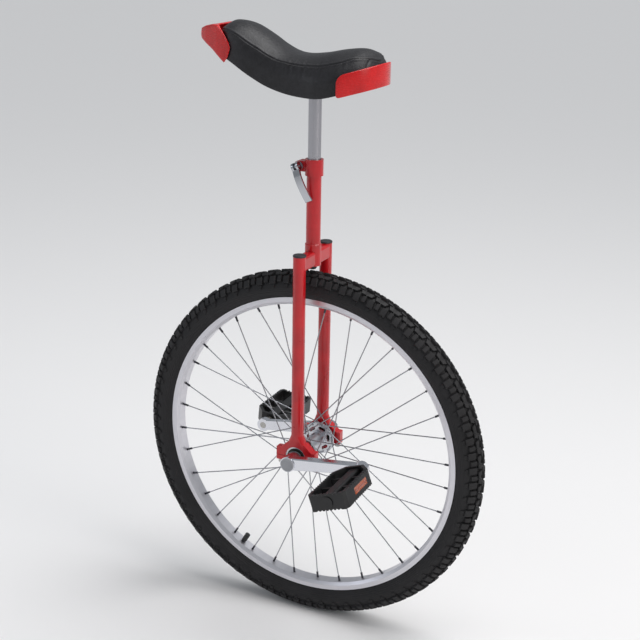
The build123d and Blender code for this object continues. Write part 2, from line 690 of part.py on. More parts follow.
def saddle_side_face(inset, drop):
    """Side outline of the saddle, shrunk by inset, with its floor lowered by drop."""
    shrink = 1 - inset / SADDLE_HALF_LENGTH
    top = [(SADDLE_MIDDLE_X + (x - SADDLE_MIDDLE_X) * shrink, z - inset) for x, z in SADDLE_TOP]
    floor = [(SADDLE_MIDDLE_X + (x - SADDLE_MIDDLE_X) * shrink, z - drop) for x, z in SADDLE_FLOOR]
    upper = Spline(*[(x, -100, z) for x, z in top])
    lower = Spline(*[(x, -100, z) for x, z in floor])
    nose = Line((top[-1][0], -100, top[-1][1]), (floor[0][0], -100, floor[0][1]))
    tail = Line((floor[-1][0], -100, floor[-1][1]), (top[0][0], -100, top[0][1]))
    return make_face([upper, nose, lower, tail])


def saddle_plan_face(inset):
    shrink = 1 - inset / SADDLE_HALF_LENGTH
    right = [(SADDLE_MIDDLE_X + (x - SADDLE_MIDDLE_X) * shrink, y - inset if y else 0)
             for x, y in SADDLE_PLAN]
    left = [(x, -y) for x, y in reversed(right[1:-1])]
    outline = Spline(*[(x, y, 950) for x, y in right + left], periodic=True)
    return make_face(outline)


def saddle_block(inset, drop=0.0):
    side = extrude(saddle_side_face(inset, drop), amount=200, dir=(0, 1, 0))
    plan = extrude(saddle_plan_face(inset), amount=200, dir=(0, 0, 1))
    return side & plan


def floor_band(low, high):
    """Everything between the saddle's floor curve raised by low and raised by high."""
    lower = Spline(*[(x * 1.3 if abs(x) > 120 else x, -100, z + low) for x, z in SADDLE_FLOOR])
    upper = Spline(*[(x * 1.3 if abs(x) > 120 else x, -100, z + high) for x, z in SADDLE_FLOOR])
    front = Line(lower @ 0, upper @ 0)
    back = Line(lower @ 1, upper @ 1)
    return extrude(make_face([lower, back, upper, front]), amount=200, dir=(0, 1, 0))


def stud_rods(radius, z0, z1):
    return [rod_z(radius, z0, z1, x, y) for x, y in STUDS]


# Bumper screws: x, y, z of the saddle's skin, heading in degrees, and how far the tip is past the skin
SCREWS = [(-125, 20, 1004, 180, -1.2), (-125, -20, 1004, 180, -1.2), (160, 34, 1040, 35, 4),
          (160, -34, 1040, -35, 4)]


def screw_rod(radius, inner, outer, spot):
    x, y, z, heading, _ = spot
    a = radians(heading)
    middle = (inner + outer) / 2
    at = Plane(origin=(x, y, z), z_dir=(cos(a), sin(a), 0))
    return at * Pos(0, 0, middle) * Cylinder(radius, outer - inner)


def screw_holes(radius):
    return [screw_rod(radius, -25, 30, spot) for spot in SCREWS]


def blind_screw_holes():
    return [screw_rod(1.52, -25, spot[-1] + 0.1, spot) for spot in SCREWS]


def screw_head_rooms():
    return [screw_rod(3.6, -16, -9.9, spot) for spot in SCREWS]


def make_seat_post():
    post = rod_z(POST_RADIUS, POST_BOTTOM_Z, POST_PLATE_Z + 1)
    post -= rod_z(POST_RADIUS - 1.8, POST_BOTTOM_Z - 1, POST_PLATE_Z - 3)
    plate = block(-42, 42, -22, 22, POST_PLATE_Z, POST_PLATE_Z + PLATE_THICKNESS)
    plate = fillet(plate.edges().filter_by(Axis.Z), 8)
    gusset = slab([(-30, POST_PLATE_Z), (30, POST_PLATE_Z), (12, POST_PLATE_Z - 16),
                   (-12, POST_PLATE_Z - 16)], -1.6, 1.6)
    gusset -= rod_z(POST_RADIUS - 0.9, 900, 1000)
    post = post + plate + gusset
    return post - stud_rods(3.1, 970, 1000)


def make_saddle_pan():
    inner = COVER_THICKNESS + 0.3
    shell = saddle_block(inner) & floor_band(-1, PAN_DEPTH + PAN_THICKNESS)
    hollow = saddle_block(inner + 2.6, 30) & floor_band(-20, PAN_DEPTH)
    pan = shell - hollow
    pad = block(-46, 46, -26, 26, POST_PLATE_Z + PLATE_THICKNESS, 993)
    pan += pad & saddle_block(inner + 2.6, 30)
    pan -= block(-46, 46, -26, 26, POST_PLATE_Z - 20, POST_PLATE_Z + PLATE_THICKNESS)
    pan -= stud_rods(3.1, 950, 1010)
    pan -= screw_holes(1.5)
    return pan - screw_head_rooms()


def make_saddle_foam():
    inner = COVER_THICKNESS + 0.3
    foam = saddle_block(inner)
    foam -= floor_band(-40, PAN_DEPTH + PAN_THICKNESS + 0.2)
    foam -= block(-46.3, 46.3, -26.3, 26.3, 960, 993.2)
    foam -= stud_rods(8.0, 950, 997)
    foam -= screw_holes(4.0)
    return foam


def make_saddle_cover():
    skin = saddle_block(0) - saddle_block(COVER_THICKNESS, 60)
    return skin - screw_holes(1.5)


def make_saddle_studs():
    studs = []
    for x, y in STUDS:
        head = rod_z(7.0, 993.2, 996.2, x, y)
        shank = rod_z(3.0, 972, 993.4, x, y)
        studs.append(head + shank)
    return studs


def make_saddle_nuts():
    nuts = []
    for x, y in STUDS:
        flange = rod_z(7.0, POST_PLATE_Z - 1.5, POST_PLATE_Z, x, y)
        hexagon = Pos(x, y, POST_PLATE_Z - 7) * extrude(RegularPolygon(5.2, 6), amount=6)
        nuts.append(flange + hexagon - rod_z(3.02, 960, 990, x, y))
    return nuts


def make_bumper_screws():
    screws = []
    for spot in SCREWS:
        screws.append(screw_rod(1.5, -10, spot[-1], spot) + screw_rod(3.4, -12.5, -10, spot))
    return screws


def make_rear_bumper():
    """A band round the back of the saddle with rounded front ends."""
    band = saddle_block(-4.2, 6) - saddle_block(-0.3, 60)
    side_view = face_xz([(-69, 993), (-72, 984), (-79, 981.5), (-140, 999.5), (-140, 1037),
                         (-80, 1017.5), (-73, 1012), (-69, 1003)], -100)
    band &= extrude(side_view, amount=200, dir=(0, 1, 0))
    return band - blind_screw_holes()


def make_front_bumper():
    """Nose guard: wings along the saddle's sides, running forward into a lifting handle with a finger slot."""
    half = [(126, 56), (133, 52.8), (150, 47), (165, 40.5), (180, 32.5), (195, 24.5), (207, 16.5), (213, 9)]
    plan = make_face(Polyline(*half, *[(x, -y) for x, y in reversed(half)], close=True))
    outer = extrude(Pos(0, 0, 980) * plan, amount=160)
    side_view = face_xz([(147, 1017), (138, 1028), (133, 1042), (136, 1052), (144, 1062), (153, 1071),
                         (163, 1078), (178, 1078), (196, 1074), (209, 1069), (214, 1061), (212, 1053),
                         (177, 1036)], -100)
    body = outer & extrude(side_view, amount=200, dir=(0, 1, 0))
    body -= saddle_block(-0.3, 80)
    slot = block(179, 193, -19, 19, 980, 1120)
    body -= fillet(slot.edges().filter_by(Axis.Z), 6)
    return body - blind_screw_holes()


# ---------------------------------------------------------------- write every piece
PIECES = {
    "seat_tube": make_seat_tube(),
    "seat_tube_plug": make_seat_tube_plug(),
    "crown_sleeve": make_sleeve(),
    "crown_bridge_left": make_bridge(1),
    "crown_bridge_right": make_bridge(-1),
    "leg_left": make_leg(1),
    "leg_right": make_leg(-1),
    "leg_end_caps": group(make_leg_caps()),
    "bearing_holder_left": make_bearing_holder(1),
    "bearing_holder_right": make_bearing_holder(-1),
    "bearing_lower_cap_left": make_lower_cap(1),
    "bearing_lower_cap_right": make_lower_cap(-1),
    "bearing_cap_bolts": group(make_cap_bolts()),
    "bearing_cap_washers": group(make_cap_washers()),
    "bearing_outer_rings": group(both_bearings(make_outer_ring())),
    "bearing_seals": group(make_seals()),
    "seat_collar": make_collar(),
    "clamp_skewer": make_skewer(),
    "clamp_cam_washer": make_cam_washer(),
    "quick_release_lever": make_lever(),
    "clamp_adjusting_nut": make_adjusting_nut(),
    "tyre": make_tyre(),
    "inner_tube": make_inner_tube(),
    "rim_tape": make_rim_tape(),
    "rim": make_rim(),
    "valve_stem": make_valve_stem(),
    "valve_cap": make_valve_cap(),
    "spoke_nipples": group([n for kind in SPOKE_KINDS.values() for n in repeat_nine(make_nipple(kind))]),
    "hub_shell": make_hub_shell(),
    "axle": make_axle(),
    "bearing_inner_rings": group(both_bearings(make_inner_ring())),
    "bearing_balls": group(make_balls()),
    "axle_spacers": group(make_spacers()),
    "crank_left": make_crank(1),
    "crank_right": make_crank(-1),
    "crank_bolts": group([make_crank_bolt(1), make_crank_bolt(-1)]),
    "crank_dust_caps": group([make_dust_cap(1), make_dust_cap(-1)]),
    "seat_post": make_seat_post(),
    "saddle_pan": make_saddle_pan(),
    "saddle_foam": make_saddle_foam(),
    "saddle_cover": make_saddle_cover(),
    "saddle_studs": group(make_saddle_studs()),
    "saddle_nuts": group(make_saddle_nuts()),
    "saddle_front_bumper": make_front_bumper(),
    "saddle_rear_bumper": make_rear_bumper(),
    "bumper_screws": group(make_bumper_screws()),
}
for spoke_name, spoke_kind in SPOKE_KINDS.items():
    PIECES[spoke_name] = make_spoke_group(spoke_kind)
for side_name, side_sign in (("left", 1), ("right", -1)):
    PIECES[f"pedal_spindle_{side_name}"] = make_pedal_spindle(side_sign)
    PIECES[f"pedal_body_{side_name}"] = make_pedal_body(side_sign)
    PIECES[f"pedal_reflectors_{side_name}"] = make_reflectors(side_sign)
    PIECES[f"pedal_bushes_{side_name}"] = make_pedal_bushes(side_sign)
    PIECES[f"pedal_end_cap_{side_name}"] = make_pedal_end_cap(side_sign)

for piece_name, piece in PIECES.items():
    export_step(piece, f"parts/{piece_name}.step")
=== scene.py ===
"""Looks of a full-size unicycle, built as a Blender add-on that is run as a script.

Metres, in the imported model's own frame: +X forward, +Y to the rider's left, +Z up, ground at Z = 0.
"""

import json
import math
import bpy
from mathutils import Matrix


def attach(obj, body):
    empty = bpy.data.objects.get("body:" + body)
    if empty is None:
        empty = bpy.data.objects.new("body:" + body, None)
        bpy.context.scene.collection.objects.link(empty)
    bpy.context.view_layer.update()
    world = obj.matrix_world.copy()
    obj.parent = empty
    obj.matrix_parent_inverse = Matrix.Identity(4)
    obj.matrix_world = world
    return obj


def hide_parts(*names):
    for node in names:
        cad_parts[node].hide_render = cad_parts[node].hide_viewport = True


bl_info = {
    "name": "Unicycle finisher",
    "version": (1, 0, 0),
    "blender": (4, 5, 0),
    "location": "3D View > Sidebar > Unicycle",
    "description": "Dresses a unicycle frame with its tyre, saddle, bumpers, finishes and studio",
    "category": "Object",
}

import bmesh
import bpy
import numpy as np
from mathutils import Matrix, Vector

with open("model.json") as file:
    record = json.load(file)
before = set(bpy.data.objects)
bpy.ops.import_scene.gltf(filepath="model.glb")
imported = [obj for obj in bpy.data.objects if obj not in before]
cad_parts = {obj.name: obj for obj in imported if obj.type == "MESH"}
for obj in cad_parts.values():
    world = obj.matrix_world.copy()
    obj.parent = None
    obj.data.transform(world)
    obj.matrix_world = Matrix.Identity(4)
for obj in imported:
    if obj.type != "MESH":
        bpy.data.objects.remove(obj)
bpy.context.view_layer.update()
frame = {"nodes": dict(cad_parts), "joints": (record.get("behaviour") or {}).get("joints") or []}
JOINTS = {joint["name"]: joint for joint in frame["joints"]}
HUB = np.array(JOINTS["wheel_spin"]["pos_m"])
MM = 0.001


# ---------------------------------------------------------------- small tools
CURVE_STEPS = 40        # points worked out between two given points, before they are spread evenly
HEIGHT_POINTS = 400     # points along a curve that heights are read from
SAME_POINT = 1e-6       # metres between points that are merged
NO_LENGTH = 1e-7        # metres of an edge that is dropped
SHARP_ANGLE = 60.0      # degrees, past which an edge is drawn sharp


def linear(hex_colour):
    """Linear RGBA of an sRGB hex colour: c / 12.92 if dark, else ((c + 0.055) / 1.055) to the power 2.4."""
    c = np.array([int(hex_colour[i:i + 2], 16) for i in (1, 3, 5)]) / 255
    c = np.where(c <= 0.04045, c / 12.92, ((c + 0.055) / 1.055) ** 2.4)
    return (*c.tolist(), 1.0)


def add(tree, kind, settings=None, inputs=None):
    """Adds a node. settings are its own properties, and inputs its sockets' values or their sources."""
    node = tree.nodes.new(kind)
    for name, value in (settings or {}).items():
        setattr(node, name, value)
    for name, value in (inputs or {}).items():
        if isinstance(value, bpy.types.NodeSocket):
            tree.links.new(value, node.inputs[name])
        else:
            node.inputs[name].default_value = value
    return node


def new_object(name, data):
    """An object in the scene, left at the origin."""
    thing = bpy.data.objects.new(name, data)
    bpy.context.scene.collection.objects.link(thing)
    return thing


def arc_length(points):
    """Distance along a line of points, from its first one."""
    return np.concatenate([[0], np.cumsum(np.linalg.norm(np.diff(points, axis=0), axis=1))])


def at_lengths(wanted, along, points):
    """Points at the wanted distances along a line, straight between its given ones."""
    return np.stack([np.interp(wanted, along, points[:, k]) for k in range(points.shape[1])], -1)


def smooth_curve(points, count, closed=False):
    """Points spread evenly along a Catmull-Rom curve: between two given points it is the cubic
    whose end slopes are half the step between the points' outer neighbours."""
    p = np.asarray(points, float)
    p = np.vstack([p[-1], p, p[:2]] if closed else [2 * p[0] - p[1], p, 2 * p[-1] - p[-2]])
    spans = len(p) - 3
    t = np.linspace(0, 1, CURVE_STEPS, endpoint=False)[None, :, None]
    a, b, c, d = (p[k:k + spans, None, :] for k in range(4))
    square, cube = 2 * a - 5 * b + 4 * c - d, 3 * b - a - 3 * c + d
    dense = b + 0.5 * ((c - a) * t + square * t**2 + cube * t**3)
    dense = np.vstack([dense.reshape(-1, p.shape[1]), p[-2]])
    along = arc_length(dense)
    return at_lengths(np.linspace(0, along[-1], count, endpoint=not closed), along, dense)


def curve_height(points):
    """A function of x that follows the smooth curve through (x, height) points."""
    curve = smooth_curve(points, HEIGHT_POINTS)
    return lambda x: np.interp(x, curve[:, 0], curve[:, 1])


def grid_faces(rows, columns, close_rows=False, close_columns=False):
    """Quads between neighbouring points of a rows by columns grid, joined round where it closes."""
    i = np.arange(rows if close_rows else rows - 1)
    j = np.arange(columns if close_columns else columns - 1)
    a, b = np.meshgrid(i, j, indexing="ij")
    next_a, next_b = (a + 1) % rows, (b + 1) % columns
    corners = [a * columns + b, next_a * columns + b, next_a * columns + next_b, a * columns + next_b]
    return np.stack(corners, -1).reshape(-1, 4)


def repeated_faces(faces, corners, copies):
    """The faces of one small mesh with this many corners, once for each of its copies."""
    starts = corners * np.arange(copies)
    return (faces[None] + starts[:, None, None]).reshape(-1, faces.shape[1])


def grid_normals(grid):
    """Unit normals of a grid that closes along its first direction: the cross of its two slopes."""
    along = np.roll(grid, -1, 0) - np.roll(grid, 1, 0)
    across = np.gradient(grid, axis=1)
    normal = np.cross(along, across)
    return normal / np.maximum(np.linalg.norm(normal, axis=2, keepdims=True), 1e-12)


def outward(points, faces):
    """The faces, turned over if the closed surface's signed volume is negative."""
    a, b, c, d = (points[faces[:, k]] for k in range(4))
    volume = np.einsum("ij,ij->", a, np.cross(b, c)) + np.einsum("ij,ij->", a, np.cross(c, d))
    return faces if volume > 0 else faces[:, ::-1]


def make_piece(name, points, faces, body, material, sharp=SHARP_ANGLE, more_faces=()):
    """A mesh piece from points and quads, with doubled points merged, riding on a body."""
    mesh = bpy.data.meshes.new(name)
    mesh.from_pydata(np.asarray(points).tolist(), [], [*outward(points, faces).tolist(), *more_faces])
    work = bmesh.new()
    work.from_mesh(mesh)
    bmesh.ops.remove_doubles(work, verts=work.verts, dist=SAME_POINT)
    bmesh.ops.dissolve_degenerate(work, edges=work.edges, dist=NO_LENGTH)
    work.to_mesh(mesh)
    work.free()
    return place_piece(name, mesh, body, material, sharp)


def place_piece(name, mesh, body, material, sharp=SHARP_ANGLE):
    """An object of this mesh, shaded smooth up to the sharp angle, riding on a body."""
    mesh.polygons.foreach_set("use_smooth", np.ones(len(mesh.polygons), bool))
    mesh.set_sharp_from_angle(angle=math.radians(sharp))
    mesh.materials.clear()
    mesh.materials.append(material)
    piece = new_object(name, mesh)
    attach(piece, body)
    return piece


def dress(material, *nodes):
    """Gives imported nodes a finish, leaving their meshes alone."""
    for name in nodes:
        node = frame["nodes"][name]
        for slot in node.material_slots:
            slot.material = material
        if not node.material_slots:
            node.data.materials.append(material)


# ---------------------------------------------------------------- finishes
def new_finish(name, **values):
    """A material with one Principled shader, whose plain values are set on its own sockets."""
    material = bpy.data.materials.new(name)
    material.use_nodes = True
    tree = material.node_tree
    tree.nodes.clear()
    shader = add(tree, "ShaderNodeBsdfPrincipled", inputs=values)
    add(tree, "ShaderNodeOutputMaterial", inputs={"Surface": shader.outputs[0]})
    place = add(tree, "ShaderNodeTexCoord").outputs["Object"]
    return material, tree, shader, place


def vary_roughness(tree, shader, pattern, low, high):
    """Roughness between low and high, following a 0 to 1 pattern."""
    spread = add(tree, "ShaderNodeMapRange", inputs={"Value": pattern, "To Min": low, "To Max": high})
    tree.links.new(spread.outputs[0], shader.inputs["Roughness"])


def vary_colour(tree, shader, pattern, dark, light, start, end):
    """Base colour from dark to light hex, following a 0 to 1 pattern between start and end."""
    ramp = add(tree, "ShaderNodeValToRGB", inputs={"Fac": pattern})
    for element, place, colour in zip(ramp.color_ramp.elements, (start, end), (dark, light)):
        element.position = place
        element.color = linear(colour)
    tree.links.new(ramp.outputs["Color"], shader.inputs["Base Color"])


def relief(tree, shader, height, depth_mm, under=None):
    """A bump of this depth in millimetres from a 0 to 1 height, over another bump if one is given."""
    inputs = {"Height": height, "Distance": depth_mm * MM, "Strength": 1.0}
    if under is not None:
        inputs["Normal"] = under
    bump = add(tree, "ShaderNodeBump", inputs=inputs)
    tree.links.new(bump.outputs[0], shader.inputs["Normal"])
    return bump.outputs[0]


def per_metre(millimetres):
    """Texture scale whose features are about this many millimetres wide."""
    return 1000.0 / millimetres


def noise(tree, place, width_mm, detail, **more):
    """A 0 to 1 cloud pattern whose lumps are about this many millimetres wide."""
    inputs = {"Vector": place, "Scale": per_metre(width_mm), "Detail": detail, **more}
    return add(tree, "ShaderNodeTexNoise", inputs=inputs).outputs["Fac"]


def rings(tree, place, width_mm, detail=2.0):
    """A 0 to 1 pattern of rings round the wheel's axle line, from the distance to it in metres."""
    middle = tuple(HUB.tolist())
    from_hub = add(tree, "ShaderNodeVectorMath", {"operation": "SUBTRACT"}, {0: place, 1: middle})
    flat = add(tree, "ShaderNodeVectorMath", {"operation": "MULTIPLY"},
               {0: from_hub.outputs[0], 1: (1.0, 0.0, 1.0)})
    radius = add(tree, "ShaderNodeVectorMath", {"operation": "LENGTH"}, {0: flat.outputs[0]})
    inputs = {"W": radius.outputs["Value"], "Scale": per_metre(width_mm), "Detail": detail}
    return add(tree, "ShaderNodeTexNoise", {"noise_dimensions": "1D"}, inputs).outputs["Fac"]


def drawn_out(tree, place, scale, turn=(0.0, 0.0, 0.0)):
    """The place turned and scaled, so that a pattern on it is drawn out where the scale is small."""
    inputs = {"Vector": place, "Rotation": turn, "Scale": scale}
    return add(tree, "ShaderNodeMapping", inputs=inputs).outputs[0]


def red_enamel(colour):
    """Wet-sprayed gloss enamel on steel tube: deep red under a clear, slightly wavy gloss skin."""
    finish, tree, shader, place = new_finish(
        "red_enamel", **{"Coat Weight": 0.45, "Coat Roughness": 0.08, "IOR": 1.45})
    relief(tree, shader, noise(tree, place, 2.6, 1.0), 0.035)
    haze = noise(tree, place, 38, 4.0)
    vary_roughness(tree, shader, haze, 0.2, 0.42)
    vary_colour(tree, shader, haze, "#AE0913", colour, 0.3, 0.6)
    return finish


def anodised_rim():
    """Rolled aluminium extrusion, silver anodised: fine turned rings round the hub and a satin glow."""
    finish, tree, shader, place = new_finish("silver_anodised_aluminium", Metallic=0.92)
    turned = rings(tree, place, 0.9, 3.0)
    base = relief(tree, shader, turned, 0.05)
    vary_roughness(tree, shader, noise(tree, place, 24, 5.0), 0.28, 0.46)
    vary_colour(tree, shader, turned, "#C6C5CB", "#E6E5EA", 0.25, 0.75)
    relief(tree, shader, noise(tree, place, 0.6, 2.0), 0.01, base)
    return finish


def turned_metal(name, colour, ring_mm, depth_mm, low, high):
    """Bare turned or ground metal: fine tool rings round the axle, rougher between them."""
    finish, tree, shader, place = new_finish(name, **{"Base Color": linear(colour), "Metallic": 1.0})
    turned = rings(tree, place, ring_mm)
    relief(tree, shader, turned, depth_mm)
    vary_roughness(tree, shader, turned, low, high)
    return finish


def turned_aluminium():
    """Forged and turned hub alloy, a little brighter than the rim."""
    return turned_metal("turned_aluminium", "#D4D5DA", 0.7, 0.05, 0.18, 0.4)


def ground_steel():
    """Ground bearing races: clean bright steel."""
    return turned_metal("ground_bearing_steel", "#C2C3C6", 0.5, 0.01, 0.14, 0.3)


def polished_aluminium():
    """Buffed crank forging: long soft polishing lines along the arm and a bright mirror-like face."""
    finish, tree, shader, place = new_finish(
        "polished_aluminium", **{"Base Color": linear("#DADBE1"), "Metallic": 1.0})
    along_arm = drawn_out(tree, place, (0.05, 0.4, 1.0), (0.0, math.radians(-8), 0.0))
    relief(tree, shader, noise(tree, along_arm, 0.8, 3.0), 0.012)
    vary_roughness(tree, shader, noise(tree, place, 15, 5.0), 0.1, 0.26)
    return finish


def drawn_wire():
    """Drawn stainless spoke wire: bright, with faint die lines."""
    finish, tree, shader, place = new_finish(
        "drawn_stainless_wire", **{"Base Color": linear("#9C9DA2"), "Metallic": 1.0})
    grain = noise(tree, place, 1.2, 3.0)
    vary_roughness(tree, shader, grain, 0.16, 0.34)
    relief(tree, shader, grain, 0.01)
    return finish


def plated_brass():
    """Plated brass, coloured dark grey, with a soft gleam."""
    finish, tree, shader, place = new_finish(
        "dark_grey_plate", **{"Base Color": linear("#4A4A4F"), "Metallic": 1.0})
    vary_roughness(tree, shader, noise(tree, place, 1.5, 2.0), 0.24, 0.42)
    return finish


def satin_steel_post():
    """Chrome-plated seatpost tube, satin polished lengthwise, with fine rings where the clamp has slid."""
    finish, tree, shader, place = new_finish(
        "satin_plated_tube", **{"Base Color": linear("#AEADB2"), "Metallic": 1.0})
    lines = noise(tree, drawn_out(tree, place, (1.0, 1.0, 0.04)), 0.8, 3.0)
    base = relief(tree, shader, lines, 0.03)
    slid = noise(tree, drawn_out(tree, place, (0.06, 0.06, 1.0)), 1.4, 4.0)
    relief(tree, shader, slid, 0.012, base)
    vary_roughness(tree, shader, lines, 0.2, 0.42)
    return finish


def zinc_steel():
    """Bright zinc-plated fasteners: pale, slightly yellow-grey metal with a soft crystalline mottle."""
    finish, tree, shader, place = new_finish("bright_zinc_plate", Metallic=1.0)
    cells = add(tree, "ShaderNodeTexVoronoi", inputs={"Vector": place, "Scale": per_metre(2.2)})
    vary_roughness(tree, shader, cells.outputs["Distance"], 0.26, 0.46)
    vary_colour(tree, shader, cells.outputs["Distance"], "#A6A4A0", "#C2C0BC", 0.1, 0.8)
    return finish


def chrome_plate():
    """Decorative chrome on the lever and its fittings: mirror-like with faint polishing haze."""
    finish, tree, shader, place = new_finish(
        "chrome_plate", **{"Base Color": linear("#B9BBC0"), "Metallic": 1.0})
    haze = noise(tree, place, 5, 5.0)
    vary_roughness(tree, shader, haze, 0.06, 0.2)
    relief(tree, shader, haze, 0.03)
    return finish


def moulded_plastic(name, dark, light, roughness, grain_mm, depth_mm):
    """Injection-moulded plastic with a fine spark-eroded grain and slightly greyer high spots."""
    finish, tree, shader, place = new_finish(name, IOR=1.49)
    relief(tree, shader, noise(tree, place, grain_mm, 3.0, Roughness=0.65), depth_mm)
    wear = noise(tree, place, 17, 6.0)
    vary_roughness(tree, shader, wear, roughness - 0.1, roughness + 0.14)
    vary_colour(tree, shader, wear, dark, light, 0.4, 0.75)
    return finish


def tyre_rubber():
    """Carbon-black vulcanised rubber: near black, matt, with a faint brown-grey bloom and mould grain."""
    finish, tree, shader, place = new_finish("vulcanised_rubber", IOR=1.45)
    relief(tree, shader, noise(tree, place, 0.9, 3.0), 0.1)
    bloom = noise(tree, place, 46, 7.0)
    vary_roughness(tree, shader, bloom, 0.5, 0.82)
    vary_colour(tree, shader, bloom, "#131214", "#232224", 0.35, 0.7)
    return finish


def saddle_vinyl(dark, light):
    """Embossed PVC leathercloth: pebbled cells about 1.6 mm wide with fine creases, and a low sheen."""
    finish, tree, shader, place = new_finish(
        "embossed_leathercloth", **{"IOR": 1.42, "Coat Weight": 0.06, "Coat Roughness": 0.35})
    wobble = add(tree, "ShaderNodeTexNoise", inputs={"Vector": place, "Scale": per_metre(4), "Detail": 2.0})
    shaken = add(tree, "ShaderNodeVectorMath", {"operation": "MULTIPLY_ADD"},
                 {0: wobble.outputs["Color"], 1: (MM, MM, MM), 2: place})
    pebbles = add(tree, "ShaderNodeTexVoronoi", {"feature": "SMOOTH_F1"},
                  {"Vector": shaken.outputs[0], "Scale": per_metre(1.6), "Smoothness": 0.4})
    base = relief(tree, shader, pebbles.outputs["Distance"], -0.22)
    creases = noise(tree, place, 7, 6.0)
    relief(tree, shader, creases, 0.16, base)
    vary_roughness(tree, shader, pebbles.outputs["Distance"], 0.34, 0.58)
    vary_colour(tree, shader, creases, dark, light, 0.3, 0.8)
    return finish


def bumper_plastic(colour):
    """Gloss injection-moulded ABS: solid colour, faint flow marks and hairline handling scratches."""
    finish, tree, shader, place = new_finish(
        "gloss_abs_red", **{"IOR": 1.47, "Coat Weight": 0.15, "Coat Roughness": 0.12})
    vary_colour(tree, shader, noise(tree, place, 30, 4.0), "#B90D10", colour, 0.3, 0.65)
    hairs = noise(tree, drawn_out(tree, place, (0.08, 0.08, 1.0)), 0.7, 4.0)
    vary_roughness(tree, shader, hairs, 0.2, 0.34)
    relief(tree, shader, hairs, 0.003)
    return finish


def prismatic_amber():
    """Amber acrylic reflector: glossy face over rows of small cube-corner prisms, 2.4 mm across, each with
    a painted glint in its middle and painted shade at its rim.
    """
    finish, tree, shader, place = new_finish(
        "prismatic_amber_acrylic", **{"Roughness": 0.12, "IOR": 1.49, "Coat Weight": 1.0,
                                      "Coat Roughness": 0.04})
    prisms = add(tree, "ShaderNodeTexVoronoi", {"distance": "MANHATTAN"},
                 {"Vector": place, "Scale": per_metre(2.4), "Randomness": 0.0})
    relief(tree, shader, prisms.outputs["Distance"], 0.6)
    # Painted glint and shade: bright orange in each prism's middle, dark brown towards its rim.
    vary_colour(tree, shader, prisms.outputs["Distance"], "#E07A1C", "#8E3408", 0.1, 0.6)
    return finish


def seal_rubber():
    """Nitrile lip seal and butyl tube: dark green-black, soft matt rubber with mould rings."""
    finish, tree, shader, place = new_finish(
        "nitrile_rubber", **{"Base Color": linear("#20261F"), "IOR": 1.5})
    moulded = rings(tree, place, 1.0)
    relief(tree, shader, moulded, 0.08)
    vary_roughness(tree, shader, moulded, 0.4, 0.62)
    return finish


# ---------------------------------------------------------------- settings a user may change
class TyreSettings(bpy.types.PropertyGroup):
    pitches: bpy.props.IntProperty(name="Tread pitches", default=74, min=40, max=110,
                                   description="Repeats of the tread pattern round the tyre")
    knob_height: bpy.props.FloatProperty(name="Knob height", default=5.0 * MM, unit="LENGTH",
                                         description="Height of the tread blocks above the casing")
    rib_height: bpy.props.FloatProperty(name="Rib height", default=0.5 * MM, unit="LENGTH",
                                        description="Height of the moulded rings on the sidewall")


class SaddleSettings(bpy.types.PropertyGroup):
    cover_dark: bpy.props.StringProperty(name="Cover colour", default="#141316",
                                         description="Main colour of the leathercloth, as sRGB hex")
    cover_light: bpy.props.StringProperty(name="Cover highlight", default="#232226",
                                          description="Colour of the rubbed leathercloth, as sRGB hex")
    wrinkle: bpy.props.FloatProperty(name="Wrinkle depth", default=0.45 * MM, unit="LENGTH",
                                     description="Depth of the gathers beside the seam")
    bumper_red: bpy.props.StringProperty(name="Bumper colour", default="#CF1013",
                                         description="Colour of the moulded bumpers, as sRGB hex")


class FrameSettings(bpy.types.PropertyGroup):
    paint: bpy.props.StringProperty(name="Frame paint", default="#C40B18",
                                    description="Colour of the frame's enamel, as sRGB hex")


class StageSettings(bpy.types.PropertyGroup):
    focal_length: bpy.props.FloatProperty(name="Focal length", default=68.2, unit="CAMERA",
                                          description="Lens focal length on a 36 mm sensor")
    heading: bpy.props.FloatProperty(name="Heading", default=math.radians(25.0), subtype="ANGLE",
                                     description="Camera's turn from -Y towards +X")
    tilt: bpy.props.FloatProperty(name="Tilt", default=math.radians(19.01), subtype="ANGLE",
                                  description="How far the camera looks down")
    roll: bpy.props.FloatProperty(name="Roll", default=math.radians(1.0), subtype="ANGLE",
                                  description="Camera's lean about its own line of sight")
    stand: bpy.props.FloatVectorProperty(name="Camera place", default=(-0.869, 1.830, 1.273), unit="LENGTH",
                                         description="Where the camera stands")
    floor_colour: bpy.props.StringProperty(name="Floor colour", default="#E9E8E8",
                                           description="Colour of the studio floor, as sRGB hex")


# ---------------------------------------------------------------- tyre
# Half outline of the casing, from the crown to the bead: (half width, radius) in millimetres
CASING_HALF = [(0, 327.5), (9, 326.4), (16.2, 321.8), (21.8, 314.4), (24.8, 305.5), (23.0, 296.2),
               (17.6, 289.4), (14.4, 286.0), (13.0, 281.6)]
CASING_POINTS = 110             # from the crown to one bead
CASING_PLACES = 380             # round the wheel
CASING_WALL = 2.4 * MM
INNER_STEP = 5                  # the hidden inside keeps every fifth point
RIB_ZONE = (36 * MM, 56 * MM)   # along the outline from the crown
RIB_PITCH = 3.4 * MM
TREAD_SHARP = 32.0


def casing_outline():
    """Casing outline from bead to bead: (y, radius), its normals, and its length from the crown."""
    half = smooth_curve(CASING_HALF, CASING_POINTS) * MM
    full = np.vstack([half[::-1] * (-1, 1), half[1:]])
    step = np.gradient(full, axis=0)
    normal = np.stack([-step[:, 1], step[:, 0]], -1)
    normal /= np.linalg.norm(normal, axis=1, keepdims=True)
    along = arc_length(full)
    return full, normal, along - along[CASING_POINTS - 1]


def about_wheel(angle, y, radius):
    """Points at an angle round the axle from +X towards +Z: (r cos a, y, hub height + r sin a)."""
    x, z = HUB[0] + radius * np.cos(angle), HUB[2] + radius * np.sin(angle)
    return np.stack([x, y + 0 * angle, z], -1)


